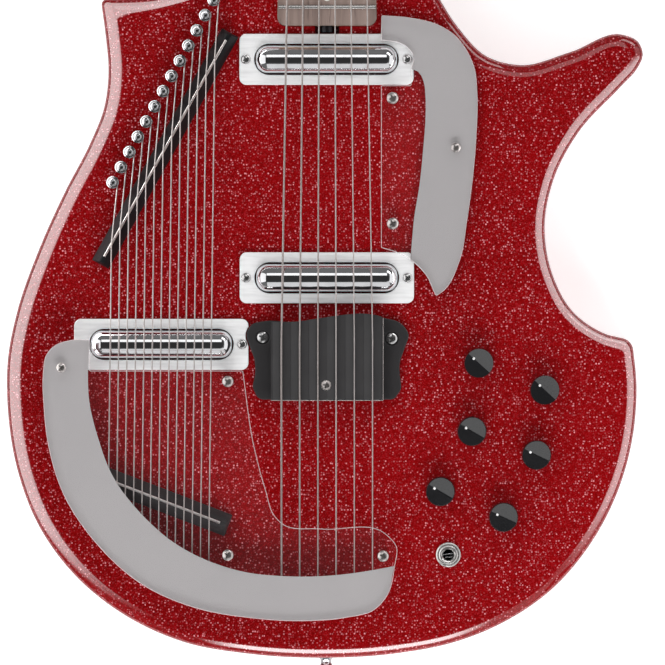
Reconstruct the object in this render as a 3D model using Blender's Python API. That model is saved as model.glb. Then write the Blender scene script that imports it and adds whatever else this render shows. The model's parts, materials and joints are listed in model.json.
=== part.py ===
"""Electric sitar: a routed wooden body with a bolt-on neck, three tube pickups, a buzz
bridge for six playing strings, and thirteen drone strings with a nut and bridge of their own.

It lies on its back: +X to the treble side, +Y to the headstock, +Z out of the front.
The origin is on the flat back, straight under the crown of the buzz bridge.
"""
import math

import bmesh
import bpy
from mathutils import Matrix, Vector

for old in list(bpy.data.objects):
    bpy.data.objects.remove(old, do_unlink=True)

# Units and clearances
MM = 0.001                    # the outlines below are written in millimetres
GAP = 0.0003                  # between two pieces that seat on each other
RUNNING_GAP = 0.0006          # round a shaft that turns in its bore
THROUGH = 0.010               # how far a cutter sticks out of what it cuts

# Body
BODY_THICKNESS = 0.038
BODY_ROUNDOVER = 0.007
POCKET_DEPTH = 0.016
NECK_PICKUP_FROM_BOARD = 0.0190
BACK_RECESS = 0.0021          # sinks the back plates, so that the back stays flat

# Scale and strings
SCALE_LENGTH = 0.635
STRING_HEIGHT = 0.0132        # string centres above the body, over the bridge crown
STRING_SPREAD_BRIDGE = 0.0514
STRING_SPREAD_NUT = 0.031
STRING_RADII = (0.00055, 0.0005, 0.00045, 0.0004, 0.00035, 0.00035)
STRING_WRAP_TURNS = 1.75
WRAP_GAP = 0.0005             # between the turns of a string on its post

# Neck and fingerboard
NECK_WIDTH_NUT = 0.042
NECK_WIDTH_END = 0.056
BOARD_PAST_LAST_FRET = 0.0104
NECK_RISE = 0.0025            # fingerboard seat above the body's face
NECK_DEPTH = 0.0150
NECK_DEPTH_NUT = 0.0140
NECK_STEPS = 18               # facets round the back of the neck
HEEL_PAST_BODY = 0.0164
HEEL_SLOPE_LENGTH = 0.0440
BOARD_THICKNESS = 0.0060
BOARD_END_CORNER = 0.0048
BOARD_CAMBER_RADIUS = 0.300
FRET_COUNT = 21
FRET_WIDTH = 0.0024
FRET_HEIGHT = 0.0010
FRET_ROOT = 0.0025            # how deep a fret sits in the board
FRET_SHORT_OF_EDGE = 0.0006
NUT_LENGTH = 0.0050
NUT_EDGE = 0.0011
STRING_OVER_FRET = 0.0007
TRUSS_ROD_DIAMETER = 0.0060
TRUSS_NUT_DIAMETER = 0.0076
TRUSS_NUT_REACH = 0.0036      # out of the neck's end, into the notch
TRUSS_NOTCH_WIDTH = 0.0138
TRUSS_NOTCH_REACH = 0.0045
TRUSS_NOTCH_DEPTH = 0.0100
TRUSS_CHANNEL_DEPTH = 0.0090
TRUSS_ROD_DROP = 0.0055       # rod's axis under the fingerboard seat
TRUSS_ROD_SHORT_OF_NUT = 0.0215

# Headstock and tuners, six in line
TUNER_COUNT = 6
FIRST_POST_X = -0.0193
LAST_POST_X = 0.0098
FIRST_POST_FROM_NUT = 0.033
TUNER_PITCH_Y = 0.025
POST_RADIUS = 0.0030
POST_WAIST_RADIUS = 0.0025
POST_STANDS = 0.0100          # above the headstock's face
POST_COLLAR = 0.0015
POST_CAP = 0.0025
HEAD_DROP = 0.0045            # headstock's face below the fingerboard seat
HEAD_THICKNESS = 0.0140
HEAD_EDGE = 0.0012
HEAD_ROOT = 0.0090            # how far the headstock runs under the fingerboard
HEAD_UNDERCUT = 0.0020        # how far the neck's back runs past the nut into it
HEAD_EDGE_FROM_POSTS = 0.0130
TUNER_PLATE_THICKNESS = 0.0012
TUNER_PLATE_WIDTH = 0.0170
TUNER_PLATE_OVERHANG = 0.0110
TUNER_PLATE_CORNER = 0.0040
TUNER_HOUSING_DEPTH = 0.0095
TUNER_HOUSING_LENGTH = 0.0150
TUNER_HOUSING_WIDTH = 0.0155
TUNER_HOUSING_CORNER = 0.0025
TUNER_HOUSING_FLOOR = 0.0015
TUNER_HOUSING_SHIFT = 0.0005  # off the posts' line, towards the keys
KEY_BORE_START = 0.0045       # out from the post's axis
KEY_SHAFT_RADIUS = 0.0020
KEY_BUTTON_STANDOFF = 0.0035
KEY_BUTTON_LENGTH = 0.0150
KEY_BUTTON_WIDTH = 0.0140
KEY_BUTTON_THICKNESS = 0.0080
KEY_BUTTON_SHAPE = ((0.45, 0.0), (0.85, 0.2), (1.0, 0.5), (0.85, 0.82), (0.4, 1.0))

# Pickups
PICKUP_TUBE_DIAMETER = 0.0159
PICKUP_TUBE_LENGTH = 0.0800
PICKUP_RISE = 0.0012          # tube axis above the body's face
PICKUP_END_ROUNDING = 0.00675
PICKUP_SLOT_GAP = 0.0008
PICKUP_ROUTE_DEPTH = 0.0110
PICKUP_ROUTE_GAP = 0.0010
PICKUP_ROUTE_CORNER = 0.0040
SURROUND_LENGTH = 0.0985
SURROUND_WIDTH = 0.0288
SURROUND_THICKNESS = 0.0018
SURROUND_CORNER = 0.0040
SURROUND_EDGE = 0.0005
MIDDLE_PICKUP = (-0.0001, 0.0360)
DRONE_PICKUP = (-0.0936, -0.0016)

# Buzz bridge
BRIDGE_BASE_THICKNESS = 0.0030
BRIDGE_EDGE = 0.0008
BRIDGE_CROWN_DROP = 0.0012    # fall of the plate from its crown to its rear edge
BRIDGE_RIB_DEPTH = 0.0014
PLATE_WIDTH = 0.0633
PLATE_REAR_Y = -0.0331
BRIDGE_SCREW_RADIUS = 0.0038
BRIDGE_SCREW_RECESS = 0.0015
PLATE_SCREW_RADIUS = 0.0030
PLATE_SCREW_RECESS = 0.0040
BRIDGE_SCREWS = ((-0.0363, 0.0024), (0.0365, 0.0017))
PLATE_SCREW = (-0.0005, -0.0247)
TAIL_Y = -0.1390
TAIL_LENGTH = 0.0120
TAIL_WIDTH = 0.0620
TAIL_HEIGHT = 0.0070
TAIL_LIP_HEIGHT = 0.0022
TAIL_STRING_HEIGHT = 0.0040

# Drone strings
DRONE_COUNT = 13
DRONE_STRING_RADIUS = 0.00035
DRONE_FIRST_X = -0.1220
DRONE_PITCH = 0.00475
DRONE_X_TAKEN_AT_Y = 0.020
DRONE_LEAN = 0.012            # sideways drift of a drone string per unit of length
DRONE_WRAP_TURNS = 1.25
PIN_FIRST = (-0.1210, 0.0898)
PIN_STEP = (0.00475, 0.00858)
PIN_SHAFT_RADIUS = 0.0022
PIN_HEAD_RADIUS = 0.0036
PIN_HEAD_HEIGHT = 0.0033
PIN_STANDS = 0.0073           # underside of the head above the body
PIN_BURIED = 0.0236
PIN_TIP = 0.0010
PIN_HEAD_EDGE = 0.0003
DRONE_BAR_HEIGHT = 0.0090
DRONE_BAR_FOOT = 0.0020
DRONE_BAR_CROWN = 0.0024
DRONE_BAR_END_SLOPE = 0.0012
DRONE_WIRE_RADIUS = 0.00075
DRONE_NUT_WIDTH = 0.0106
DRONE_NUT_ENDS = ((-0.0546, 0.1744), (-0.1281, 0.0436))
DRONE_BRIDGE_WIDTH = 0.0128
DRONE_BRIDGE_ENDS = ((-0.1323, -0.0746), (-0.0557, -0.1040))
DRONE_TAIL_ENDS = ((-0.1290, -0.0916), (-0.0620, -0.1411))
DRONE_TAIL_WIDTH = 0.0080
DRONE_TAIL_HEIGHT = 0.0078
DRONE_TAIL_EDGE = 0.0010
WIRE_SHORT_OF_BAR = 0.0050

# Clear guards
UPPER_GUARD_THICKNESS = 0.0025
UPPER_GUARD_CLEARANCE = 0.0016     # over the pickup surrounds
LOWER_GUARD_THICKNESS = 0.0030
LOWER_GUARD_CLEARANCE = 0.0028     # over the highest string
GUARD_EDGE = 0.0005
UPPER_GUARD_DRAWN_TO = 0.1594      # the neck pickup's place in the guard's outline below
SPACER_RADIUS = 0.0040
UPPER_GUARD_SCREWS = ((0.0370, 0.1374), (0.0371, 0.0666), (0.0727, 0.1094))
LOWER_GUARD_SCREWS = (
    (-0.1497, -0.0147), (-0.0559, -0.0226), (-0.0559, -0.1203), (0.0316, -0.1209))

# Controls
KNOB_RADIUS = 0.00845
KNOB_HEIGHT = 0.0130
KNOB_EDGE_HEIGHT = 0.0085
KNOB_TAPER = 0.94             # rim radius as a share of the foot's
KNOB_SHAFT_RADIUS = 0.0030
KNOBS = (
    (0.0857, -0.0122, 138.0), (0.1229, -0.0274, 137.0), (0.0818, -0.0507, 150.0),
    (0.1182, -0.0641, 154.5), (0.0640, -0.0847, 150.0), (0.0996, -0.0992, 155.5))
POT_RADIUS = 0.0085
POT_DEPTH = 0.0090
POT_EDGE = 0.0008
POT_FLOOR = 0.0020
POT_PLATE_THICKNESS = 0.0008
CAVITY_CEILING = 0.0050       # wood left over the control cavity
COVER_LEDGE = 0.0045
COVER_THICKNESS = 0.0016
JACK_PLACE = (0.0685, -0.1205)
JACK_BORE_RADIUS = 0.003175
JACK_BARREL_RADIUS = 0.0047
JACK_NUT_RADIUS = 0.0052
JACK_WASHER_RADIUS = 0.00695
JACK_NUT_HEIGHT = 0.0028
JACK_WASHER_THICKNESS = 0.0008
JACK_LIP = 0.0006             # barrel above its nut
JACK_BODY_RADIUS = 0.0072
JACK_BODY_DROP = 0.0040       # under the controls' plate
JACK_BODY_LENGTH = 0.0120

# Strap buttons, neck plate and leads
BUTTON_FLANGE_RADIUS = 0.0062
BUTTON_NECK_RADIUS = 0.0030
BUTTON_LENGTH = 0.0125
BUTTON_FLANGE_THICKNESS = 0.0030
BUTTON_SCREW_RADIUS = 0.0017
BUTTON_SCREW_LENGTH = 0.0220
TAIL_BUTTON_X = -0.0006
SHOULDER_BUTTON_X = -0.0560
NECK_PLATE_WIDTH = 0.0500
NECK_PLATE_LENGTH = 0.0630
NECK_PLATE_THICKNESS = 0.0016
NECK_PLATE_CORNER = 0.0040
LEAD_RADIUS = 0.0014
LEAD_CHANNEL_RADIUS = 0.0020
LEAD_HEIGHT = 0.0295
LEAD_FROM_PICKUP = 0.0300     # where a lead leaves a pickup, from its centre
LEAD_TURN = 0.0250            # where the main lead turns to the controls

# Heights worked out from the sizes above
BODY_TOP = BODY_THICKNESS
MID_HEIGHT = BODY_THICKNESS / 2
NECK_TOP = BODY_TOP + NECK_RISE
POCKET_FLOOR = BODY_TOP - POCKET_DEPTH
BOARD_BOTTOM = NECK_TOP + GAP
BOARD_TOP = BOARD_BOTTOM + BOARD_THICKNESS
STRING_AT_NUT = BOARD_TOP + FRET_HEIGHT + STRING_OVER_FRET + STRING_RADII[0]
STRING_AT_BRIDGE = BODY_TOP + STRING_HEIGHT
PLATE_CROWN = STRING_AT_BRIDGE - STRING_RADII[0] - GAP
BRIDGE_BASE_TOP = BODY_TOP + GAP + BRIDGE_BASE_THICKNESS
HEAD_TOP = NECK_TOP - HEAD_DROP
HEAD_BOTTOM = HEAD_TOP - HEAD_THICKNESS
TUNER_PLATE_TOP = HEAD_BOTTOM - GAP
TUNER_PLATE_BOTTOM = TUNER_PLATE_TOP - TUNER_PLATE_THICKNESS
HOUSING_BOTTOM = TUNER_PLATE_BOTTOM - TUNER_HOUSING_DEPTH
KEY_AXIS_Z = (TUNER_PLATE_BOTTOM + HOUSING_BOTTOM) / 2
DRONE_CROWN = BODY_TOP + GAP + DRONE_BAR_HEIGHT
DRONE_WIRE_Z = DRONE_CROWN + GAP + DRONE_WIRE_RADIUS
DRONE_STRING_Z = DRONE_WIRE_Z + DRONE_WIRE_RADIUS + GAP + DRONE_STRING_RADIUS
UPPER_GUARD_Z = BODY_TOP + GAP + SURROUND_THICKNESS + UPPER_GUARD_CLEARANCE
LOWER_GUARD_Z = max(DRONE_STRING_Z, STRING_AT_BRIDGE) + LOWER_GUARD_CLEARANCE
CAVITY_TOP = BODY_TOP - CAVITY_CEILING
NUT_Y = SCALE_LENGTH
NECK_END_Y = SCALE_LENGTH * 2 ** (-FRET_COUNT / 12) - BOARD_PAST_LAST_FRET
NECK_PICKUP = (-0.0003, NECK_END_Y - NECK_PICKUP_FROM_BOARD)
PICKUP_PLACES = {"neck": NECK_PICKUP, "middle": MIDDLE_PICKUP, "drone": DRONE_PICKUP}
PLATE_FALL = BRIDGE_CROWN_DROP / PLATE_REAR_Y ** 2

# Outlines in millimetres: (x, y) is a knot of a smooth curve, (x, y, r) a corner of radius r
BODY_OUTLINE = (
    (-128.0, 193.5, 3.4), (-125.2, 172.8), (-123.6, 152.5), (-126.0, 132.4), (-133.9, 112.2),
    (-148.0, 85.0), (-163.3, 51.0), (-175.2, 17.1), (-180.5, -10.1), (-180.6, -37.4),
    (-175.4, -71.4), (-162.3, -105.5), (-141.9, -132.9), (-116.4, -153.5), (-81.2, -169.9),
    (-43.6, -176.7), (-1.7, -178.9), (43.6, -175.8), (70.8, -170.4), (97.1, -160.2),
    (127.4, -139.9), (150.2, -112.6), (164.3, -85.1), (172.2, -57.8), (175.1, -27.1),
    (172.8, 0.7, 7.5), (159.0, 3.8), (138.8, 17.2), (127.7, 37.5), (123.1, 64.4), (128.0, 91.2),
    (142.0, 118.0), (167.0, 145.0), (175.7, 154.7), (178.7, 162.2), (175.8, 169.8),
    (167.0, 173.6), (137.6, 163.8), (109.0, 156.4), (90.5, 161.2), (74.0, 177.9), (60.6, 198.9),
    (47.9, 218.3), (33.6, 240.0, 3.0), (-32.6, 240.0, 3.0), (-42.9, 222.9), (-64.1, 206.2),
    (-91.6, 196.5))
BRIDGE_OUTLINE = (
    (-45.4, 4.5), (-42.4, 9.7), (-35.6, 11.5), (-19.3, 11.1), (-4.0, 13.2), (10.8, 15.2),
    (22.0, 15.7), (32.2, 13.4), (41.2, 10.6), (46.1, 4.0), (43.9, -3.7), (41.2, -11.9),
    (41.1, -18.6), (42.1, -26.6, 4.5), (38.0, -32.8, 4.0), (-39.0, -32.8, 5.0),
    (-41.9, -26.3), (-40.7, -18.6), (-40.9, -10.7), (-43.3, -3.7))
PLATE_FRONT = (
    (-31.6, 11.2), (-19.3, 11.1), (-4.0, 13.2), (10.8, 15.2), (22.0, 15.7), (31.7, 13.6))
UPPER_GUARD_OUTLINE = (
    (30.7, 184.2, 0.8), (48.3, 182.6), (62.8, 178.8), (72.1, 173.1), (78.5, 165.1),
    (82.9, 155.8), (84.9, 139.0), (84.4, 117.5), (79.1, 68.4), (74.9, 45.5), (66.1, 28.8),
    (61.5, 25.4, 1.2), (55.9, 37.4), (49.0, 44.6), (37.9, 50.8), (30.5, 53.0, 0.6),
    (30.5, 144.6, 0.6), (47.4, 144.6, 0.8), (47.2, 153.6), (48.9, 160.3), (45.4, 165.8),
    (39.0, 169.1), (30.5, 170.1, 0.6))
LOWER_GUARD_OUTLINE = (
    (-133.6, 1.0, 0.8), (-139.2, 1.4), (-146.3, 0.4), (-152.8, -1.8), (-157.9, -7.0),
    (-160.0, -18.6), (-159.6, -36.2), (-157.2, -57.6), (-148.0, -87.1), (-130.3, -113.4),
    (-104.8, -136.5), (-72.8, -150.5), (-43.3, -155.7), (-11.4, -157.4), (10.2, -155.6),
    (27.1, -150.9), (34.0, -143.0), (38.3, -126.1), (39.3, -115.6), (32.7, -108.0),
    (-3.3, -105.4), (-24.9, -102.7), (-29.4, -98.3), (-34.5, -83.6), (-41.3, -57.6),
    (-47.3, -16.4, 0.8), (-133.6, -16.4, 0.6))
CONTROL_OUTLINE = (
    (72.0, 3.0, 8.0), (112.0, -8.0, 9.0), (138.0, -22.0, 9.0), (134.0, -84.0, 12.0),
    (98.0, -136.0, 12.0), (50.0, -137.0, 12.0), (48.0, -74.0, 9.0), (66.0, -40.0, 20.0))
HEAD_TIP = ((1.0, 21.0), (8.6, 20.9), (15.0, 18.0), (21.5, 11.5), (25.0, 4.0))   # from the last post
HEAD_TREBLE_SIDE = ((34.0, 0.60), (30.0, 0.15))     # x, and a share of the row of posts
HEAD_NECK_TREBLE = (2.0, 18.0)                      # out from the nut's end, and along
HEAD_NECK_BASS = ((0.5, 5.0), (7.0, 13.0))
BODY_HEAD_Y = max(knot[1] for knot in BODY_OUTLINE) * MM


def shade(name, colour, roughness, metallic=0.0, alpha=1.0):
    """A Principled material from a colour, a roughness and a metallic value."""
    made = bpy.data.materials.new(name)
    made.use_nodes = True
    sockets = made.node_tree.nodes["Principled BSDF"].inputs
    sockets["Base Color"].default_value = (*colour, 1.0)
    sockets["Roughness"].default_value = roughness
    sockets["Metallic"].default_value = metallic
    sockets["Alpha"].default_value = alpha
    return made


RED_FLAKE = shade("red_flake_lacquer", (0.30, 0.004, 0.008), 0.15)
CHROME = shade("chrome", (0.80, 0.80, 0.82), 0.08, 1.0)
SATIN = shade("satin_chrome", (0.82, 0.83, 0.84), 0.28, 1.0)
BLACK = shade("black_plastic", (0.03, 0.03, 0.032), 0.45)
MAPLE = shade("maple", (0.62, 0.42, 0.24), 0.40)
ROSEWOOD = shade("rosewood", (0.16, 0.10, 0.08), 0.55)
BONE = shade("bone", (0.80, 0.76, 0.66), 0.45)
STEEL = shade("string_steel", (0.62, 0.60, 0.58), 0.30, 1.0)
ACRYLIC = shade("clear_acrylic", (0.90, 0.88, 0.88), 0.05, 0.0, 0.25)
INSULATION = shade("lead_insulation", (0.05, 0.05, 0.05), 0.60)


def make(name, bm, paint, place=(0.0, 0.0, 0.0), turn=0.0):
    """Turns a bmesh into a named object with its faces pointing out."""
    bmesh.ops.recalc_face_normals(bm, faces=bm.faces)
    mesh = bpy.data.meshes.new(name)
    bm.to_mesh(mesh)
    bm.free()
    mesh.shade_smooth()
    mesh.set_sharp_from_angle(angle=math.radians(35))
    mesh.materials.append(paint)
    made = bpy.data.objects.new(name, mesh)
    made.location = place
    made.rotation_euler.z = turn
    bpy.context.collection.objects.link(made)
    return made


def boolean(target, bm, operation="DIFFERENCE"):
    """Cuts a shape out of an object, or joins it on, with an exact Boolean."""
    tool = make(f"{target.name}_{operation.lower()}_{len(target.modifiers)}", bm, BLACK)
    tool.hide_render = True
    tool.display_type = "WIRE"
    step = target.modifiers.new(tool.name, "BOOLEAN")
    step.operation = operation
    step.solver = "EXACT"
    step.object = tool


OUTLINE_SPACING = 0.014       # longest step along a curve
CORNER_CLEARANCE = 0.0095     # no curve points nearer to a corner than this


def rounded_outline(knots, inset=0.0, spacing=OUTLINE_SPACING, corner_steps=4):
    """Closed outline in metres through knots in millimetres, moved inwards by inset.

    Smooth knots lie on a spline. A corner's arc keeps its centre as the outline moves
    inwards, so it tightens, and past its centre it stays as a very small arc.
    """
    points = [Vector(knot[:2]) * MM for knot in knots]
    radii = [knot[2] * MM if len(knot) == 3 else None for knot in knots]
    count = len(points)
    area = sum(points[i].cross(points[(i + 1) % count]) for i in range(count))
    if area < 0:
        points.reverse()
        radii.reverse()

    def chord(i):
        return points[(i + 1) % count] - points[i % count]

    def tangent(i, forward):
        """Direction of the curve at knot i, for the span after it or before it."""
        after, before = chord(i), chord(i - 1)
        if radii[i] is not None:
            return (after if forward else before).normalized()
        long, short = before.length, after.length
        return (after / short * long + before / long * short) / (long + short)

    def left(direction):
        return Vector((-direction.y, direction.x)).normalized()

    outline = []
    for i in range(count):
        start, end, length = points[i], points[(i + 1) % count], chord(i).length
        if radii[i] is None:
            outline.append(start + left(tangent(i, True)) * inset)
        else:
            into, out = tangent(i, False), tangent(i, True)
            bend = math.atan2(into.cross(out), into.dot(out))
            side = 1.0 if bend > 0 else -1.0
            radius = max(radii[i] - side * inset, 0.2 * MM)
            miter = (left(into) + left(out)) / (1.0 + left(into).dot(left(out)))
            corner = start + miter * inset
            centre = corner - into * radius * math.tan(abs(bend) / 2) + left(into) * side * radius
            arm = left(into) * -side * radius
            for k in range(corner_steps + 1):
                outline.append(centre + Matrix.Rotation(bend * k / corner_steps, 2) @ arm)
        go, stop = tangent(i, True) * length, tangent((i + 1) % count, False) * length
        pieces = max(1, round(length / spacing))
        for k in range(1, pieces):
            t = k / pieces
            place = (start * (2 * t ** 3 - 3 * t ** 2 + 1) + go * (t ** 3 - 2 * t ** 2 + t)
                     + end * (3 * t ** 2 - 2 * t ** 3) + stop * (t ** 3 - t ** 2))
            slope = (start * (6 * t ** 2 - 6 * t) + go * (3 * t ** 2 - 4 * t + 1)
                     + end * (6 * t - 6 * t ** 2) + stop * (3 * t ** 2 - 2 * t))
            near_corner = min(
                [length * t] * (radii[i] is not None)
                + [length * (1 - t)] * (radii[(i + 1) % count] is not None) + [1.0])
            if near_corner > CORNER_CLEARANCE:
                outline.append(place + left(slope) * inset)
    return outline


def loft(bm, rings):
    """Skins a stack of rings of equal count and closes both ends."""
    loops = [[bm.verts.new(point) for point in ring] for ring in rings]
    for low, high in zip(loops, loops[1:]):
        for i in range(len(low)):
            j = (i + 1) % len(low)
            bm.faces.new((low[i], low[j], high[j], high[i]))
    bm.faces.new(list(reversed(loops[0])))
    bm.faces.new(loops[-1])


def prism(bm, outline, bottom, top):
    """An outline raised from one height to another."""
    loft(bm, [[(x, y, z) for x, y in outline] for z in (bottom, top)])


def plate(bm, knots, bottom, top, edge=0.0, inset=0.0, spacing=OUTLINE_SPACING):
    """A flat piece with a rounded outline and a small bevel round its upper edge."""
    levels = [(bottom, inset), (top - edge, inset), (top, inset + edge)]
    if edge == 0.0:
        levels.pop(1)
    loft(bm, [[(x, y, z) for x, y in rounded_outline(knots, offset, spacing)]
              for z, offset in levels])


def turned(bm, profile, steps=16, at=(0.0, 0.0, 0.0), axis="Z", bored=False):
    """Turns a profile of (radius, height) about an axis; bored closes it round a hole."""
    frames = {"Z": Matrix.Identity(3), "X": Matrix.Rotation(math.radians(90), 3, "Y"),
              "Y": Matrix.Rotation(math.radians(-90), 3, "X")}
    rings = []
    for radius, height in profile:
        if radius == 0.0:
            spots = [(0.0, 0.0, height)]
        else:
            turns = [2 * math.pi * (k + 0.5) / steps for k in range(steps)]
            spots = [(radius * math.cos(a), radius * math.sin(a), height) for a in turns]
        rings.append([bm.verts.new(Vector(at) + frames[axis] @ Vector(spot)) for spot in spots])
    pairs = list(zip(rings, rings[1:]))
    if bored:
        pairs.append((rings[-1], rings[0]))
    for low, high in pairs:
        for k in range(steps):
            corners = [low[k % len(low)], low[(k + 1) % len(low)],
                       high[(k + 1) % len(high)], high[k % len(high)]]
            bm.faces.new(list(dict.fromkeys(corners)))
    if not bored:
        for end in (rings[0], rings[-1]):
            if len(end) > 1:
                bm.faces.new(end)


def wire(bm, path, radius, sides=6):
    """A round wire along a path, closed at both ends."""
    path = [Vector(point) for point in path]
    first = (path[1] - path[0]).normalized()
    across = first.orthogonal().normalized()
    rings = []
    for i, point in enumerate(path):
        heading = (path[min(i + 1, len(path) - 1)] - path[max(i - 1, 0)]).normalized()
        across = (across - heading * across.dot(heading)).normalized()
        other = heading.cross(across)
        turns = [2 * math.pi * k / sides for k in range(sides)]
        rings.append([point + (across * math.cos(a) + other * math.sin(a)) * radius for a in turns])
    loft(bm, rings)


def box(bm, low, high):
    """A block between two opposite corners."""
    prism(bm, [(low[0], low[1]), (high[0], low[1]), (high[0], high[1]), (low[0], high[1])],
          low[2], high[2])


def stadium(centre, length, width, corner=None, steps=5):
    """A rectangle along X with round corners, or with round ends if no corner is given."""
    radius = corner if corner is not None else width / 2
    spots = []
    for sx, sy, start in ((1, 1, 0), (-1, 1, 90), (-1, -1, 180), (1, -1, 270)):
        middle = Vector((sx * (length / 2 - radius), sy * (width / 2 - radius))) + Vector(centre)
        for k in range(steps + 1):
            a = math.radians(start + 90 * k / steps)
            spots.append(middle + Vector((math.cos(a), math.sin(a))) * radius)
    return [s for i, s in enumerate(spots) if (s - spots[i - 1]).length > 0.01 * MM]


def bar_between(bm, ends, width, levels):
    """A straight bar between two points; levels gives (height, width, shortening) rings."""
    a, b = Vector(ends[0]), Vector(ends[1])
    along = (b - a).normalized()
    across = Vector((-along.y, along.x))
    rings = []
    for z, share, short in levels:
        half = across * width * share / 2
        start, end = a + along * short, b - along * short
        rings.append([(*(start - half), z), (*(end - half), z), (*(end + half), z),
                      (*(start + half), z)])
    loft(bm, rings)


def lerp(a, b, t):
    return a + (b - a) * t


def neck_width(y):
    """Width of the neck and the fingerboard at a place along the neck."""
    return lerp(NECK_WIDTH_END, NECK_WIDTH_NUT, (y - NECK_END_Y) / (NUT_Y - NECK_END_Y))


def neck_end_corner(steps, gap=0.0):
    """(y, half width) places round one corner at the end of the neck and its board."""
    half, radius = NECK_WIDTH_END / 2, BOARD_END_CORNER
    turns = [math.radians(90) * (steps - k) / steps for k in range(steps + 1)]
    return [(NECK_END_Y - gap + radius * (1 - math.sin(a)),
             half + gap - radius * (1 - math.cos(a))) for a in turns]


def string_x(i, y):
    """Sideways place of playing string i, bass first; behind the bridge they run parallel."""
    share = i / (TUNER_COUNT - 1) - 0.5
    return share * lerp(STRING_SPREAD_BRIDGE, STRING_SPREAD_NUT, max(y, 0.0) / SCALE_LENGTH)


def post_place(i):
    """Centre of tuner post i, bass first."""
    x = lerp(FIRST_POST_X, LAST_POST_X, i / (TUNER_COUNT - 1))
    return Vector((x, NUT_Y + FIRST_POST_FROM_NUT + TUNER_PITCH_Y * i))


POST_LINE = (post_place(TUNER_COUNT - 1) - post_place(0)).normalized()
POST_LINE_ANGLE = math.atan2(POST_LINE.y, POST_LINE.x)
TO_BASS_EDGE = Vector((-POST_LINE.y, POST_LINE.x))


def drone_x(k, y):
    """Sideways place of drone string k, bass first."""
    return DRONE_FIRST_X + DRONE_PITCH * k + DRONE_LEAN * (y - DRONE_X_TAKEN_AT_Y)


def drone_crossing(k, ends):
    """Where drone string k passes over the straight line between two ends."""
    a, b = Vector(ends[0]), Vector(ends[1])
    slope = (b.y - a.y) / (b.x - a.x)
    base_x = drone_x(k, 0.0)
    y = (a.y + slope * (base_x - a.x)) / (1.0 - slope * DRONE_LEAN)
    return Vector((drone_x(k, y), y))


def pin_place(k):
    return Vector((PIN_FIRST[0] + PIN_STEP[0] * k, PIN_FIRST[1] + PIN_STEP[1] * k))


def wraps(centre, radius, turns, top, pitch, steps):
    """Descending turns of a string round a post, starting on its +X side heading +Y."""
    count = round(turns * steps)
    spots = []
    for k in range(count + 1):
        a = 2 * math.pi * k / steps
        spots.append((centre.x + radius * math.cos(a), centre.y + radius * math.sin(a),
                      top - pitch * k / steps))
    return spots


def head_outline():
    """Headstock outline in millimetres, laid out round the row of posts."""
    first, last = post_place(0), post_place(TUNER_COUNT - 1)
    side = TO_BASS_EDGE * HEAD_EDGE_FROM_POSTS
    half = NECK_WIDTH_NUT / 2
    root = NUT_Y - HEAD_ROOT
    neck = [(half - GAP, root), (-half + GAP, root)]
    bass = [Vector((-half - x * MM, NUT_Y + y * MM)) for x, y in HEAD_NECK_BASS]
    bass += [first + side - POST_LINE * HEAD_EDGE_FROM_POSTS]
    bass += [lerp(first, last, share) + side for share in (-0.02, 0.25, 0.5, 0.75, 1.0)]
    treble = [last + Vector(spot) * MM for spot in HEAD_TIP]
    treble += [Vector((x * MM, lerp(first.y, last.y, share))) for x, share in HEAD_TREBLE_SIDE]
    treble += [Vector((half + HEAD_NECK_TREBLE[0] * MM, NUT_Y + HEAD_NECK_TREBLE[1] * MM))]
    return [(x / MM, y / MM, 0.3) for x, y in neck] + [tuple(p / MM) for p in bass + treble]


def neck_plate_outline(grow=0.0):
    """The neck plate's outline, centred on the part of the neck that lies in the body."""
    centre = (0.0, (NECK_END_Y + BODY_HEAD_Y) / 2)
    return stadium(centre, NECK_PLATE_WIDTH + grow, NECK_PLATE_LENGTH + grow, NECK_PLATE_CORNER, 2)


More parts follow.
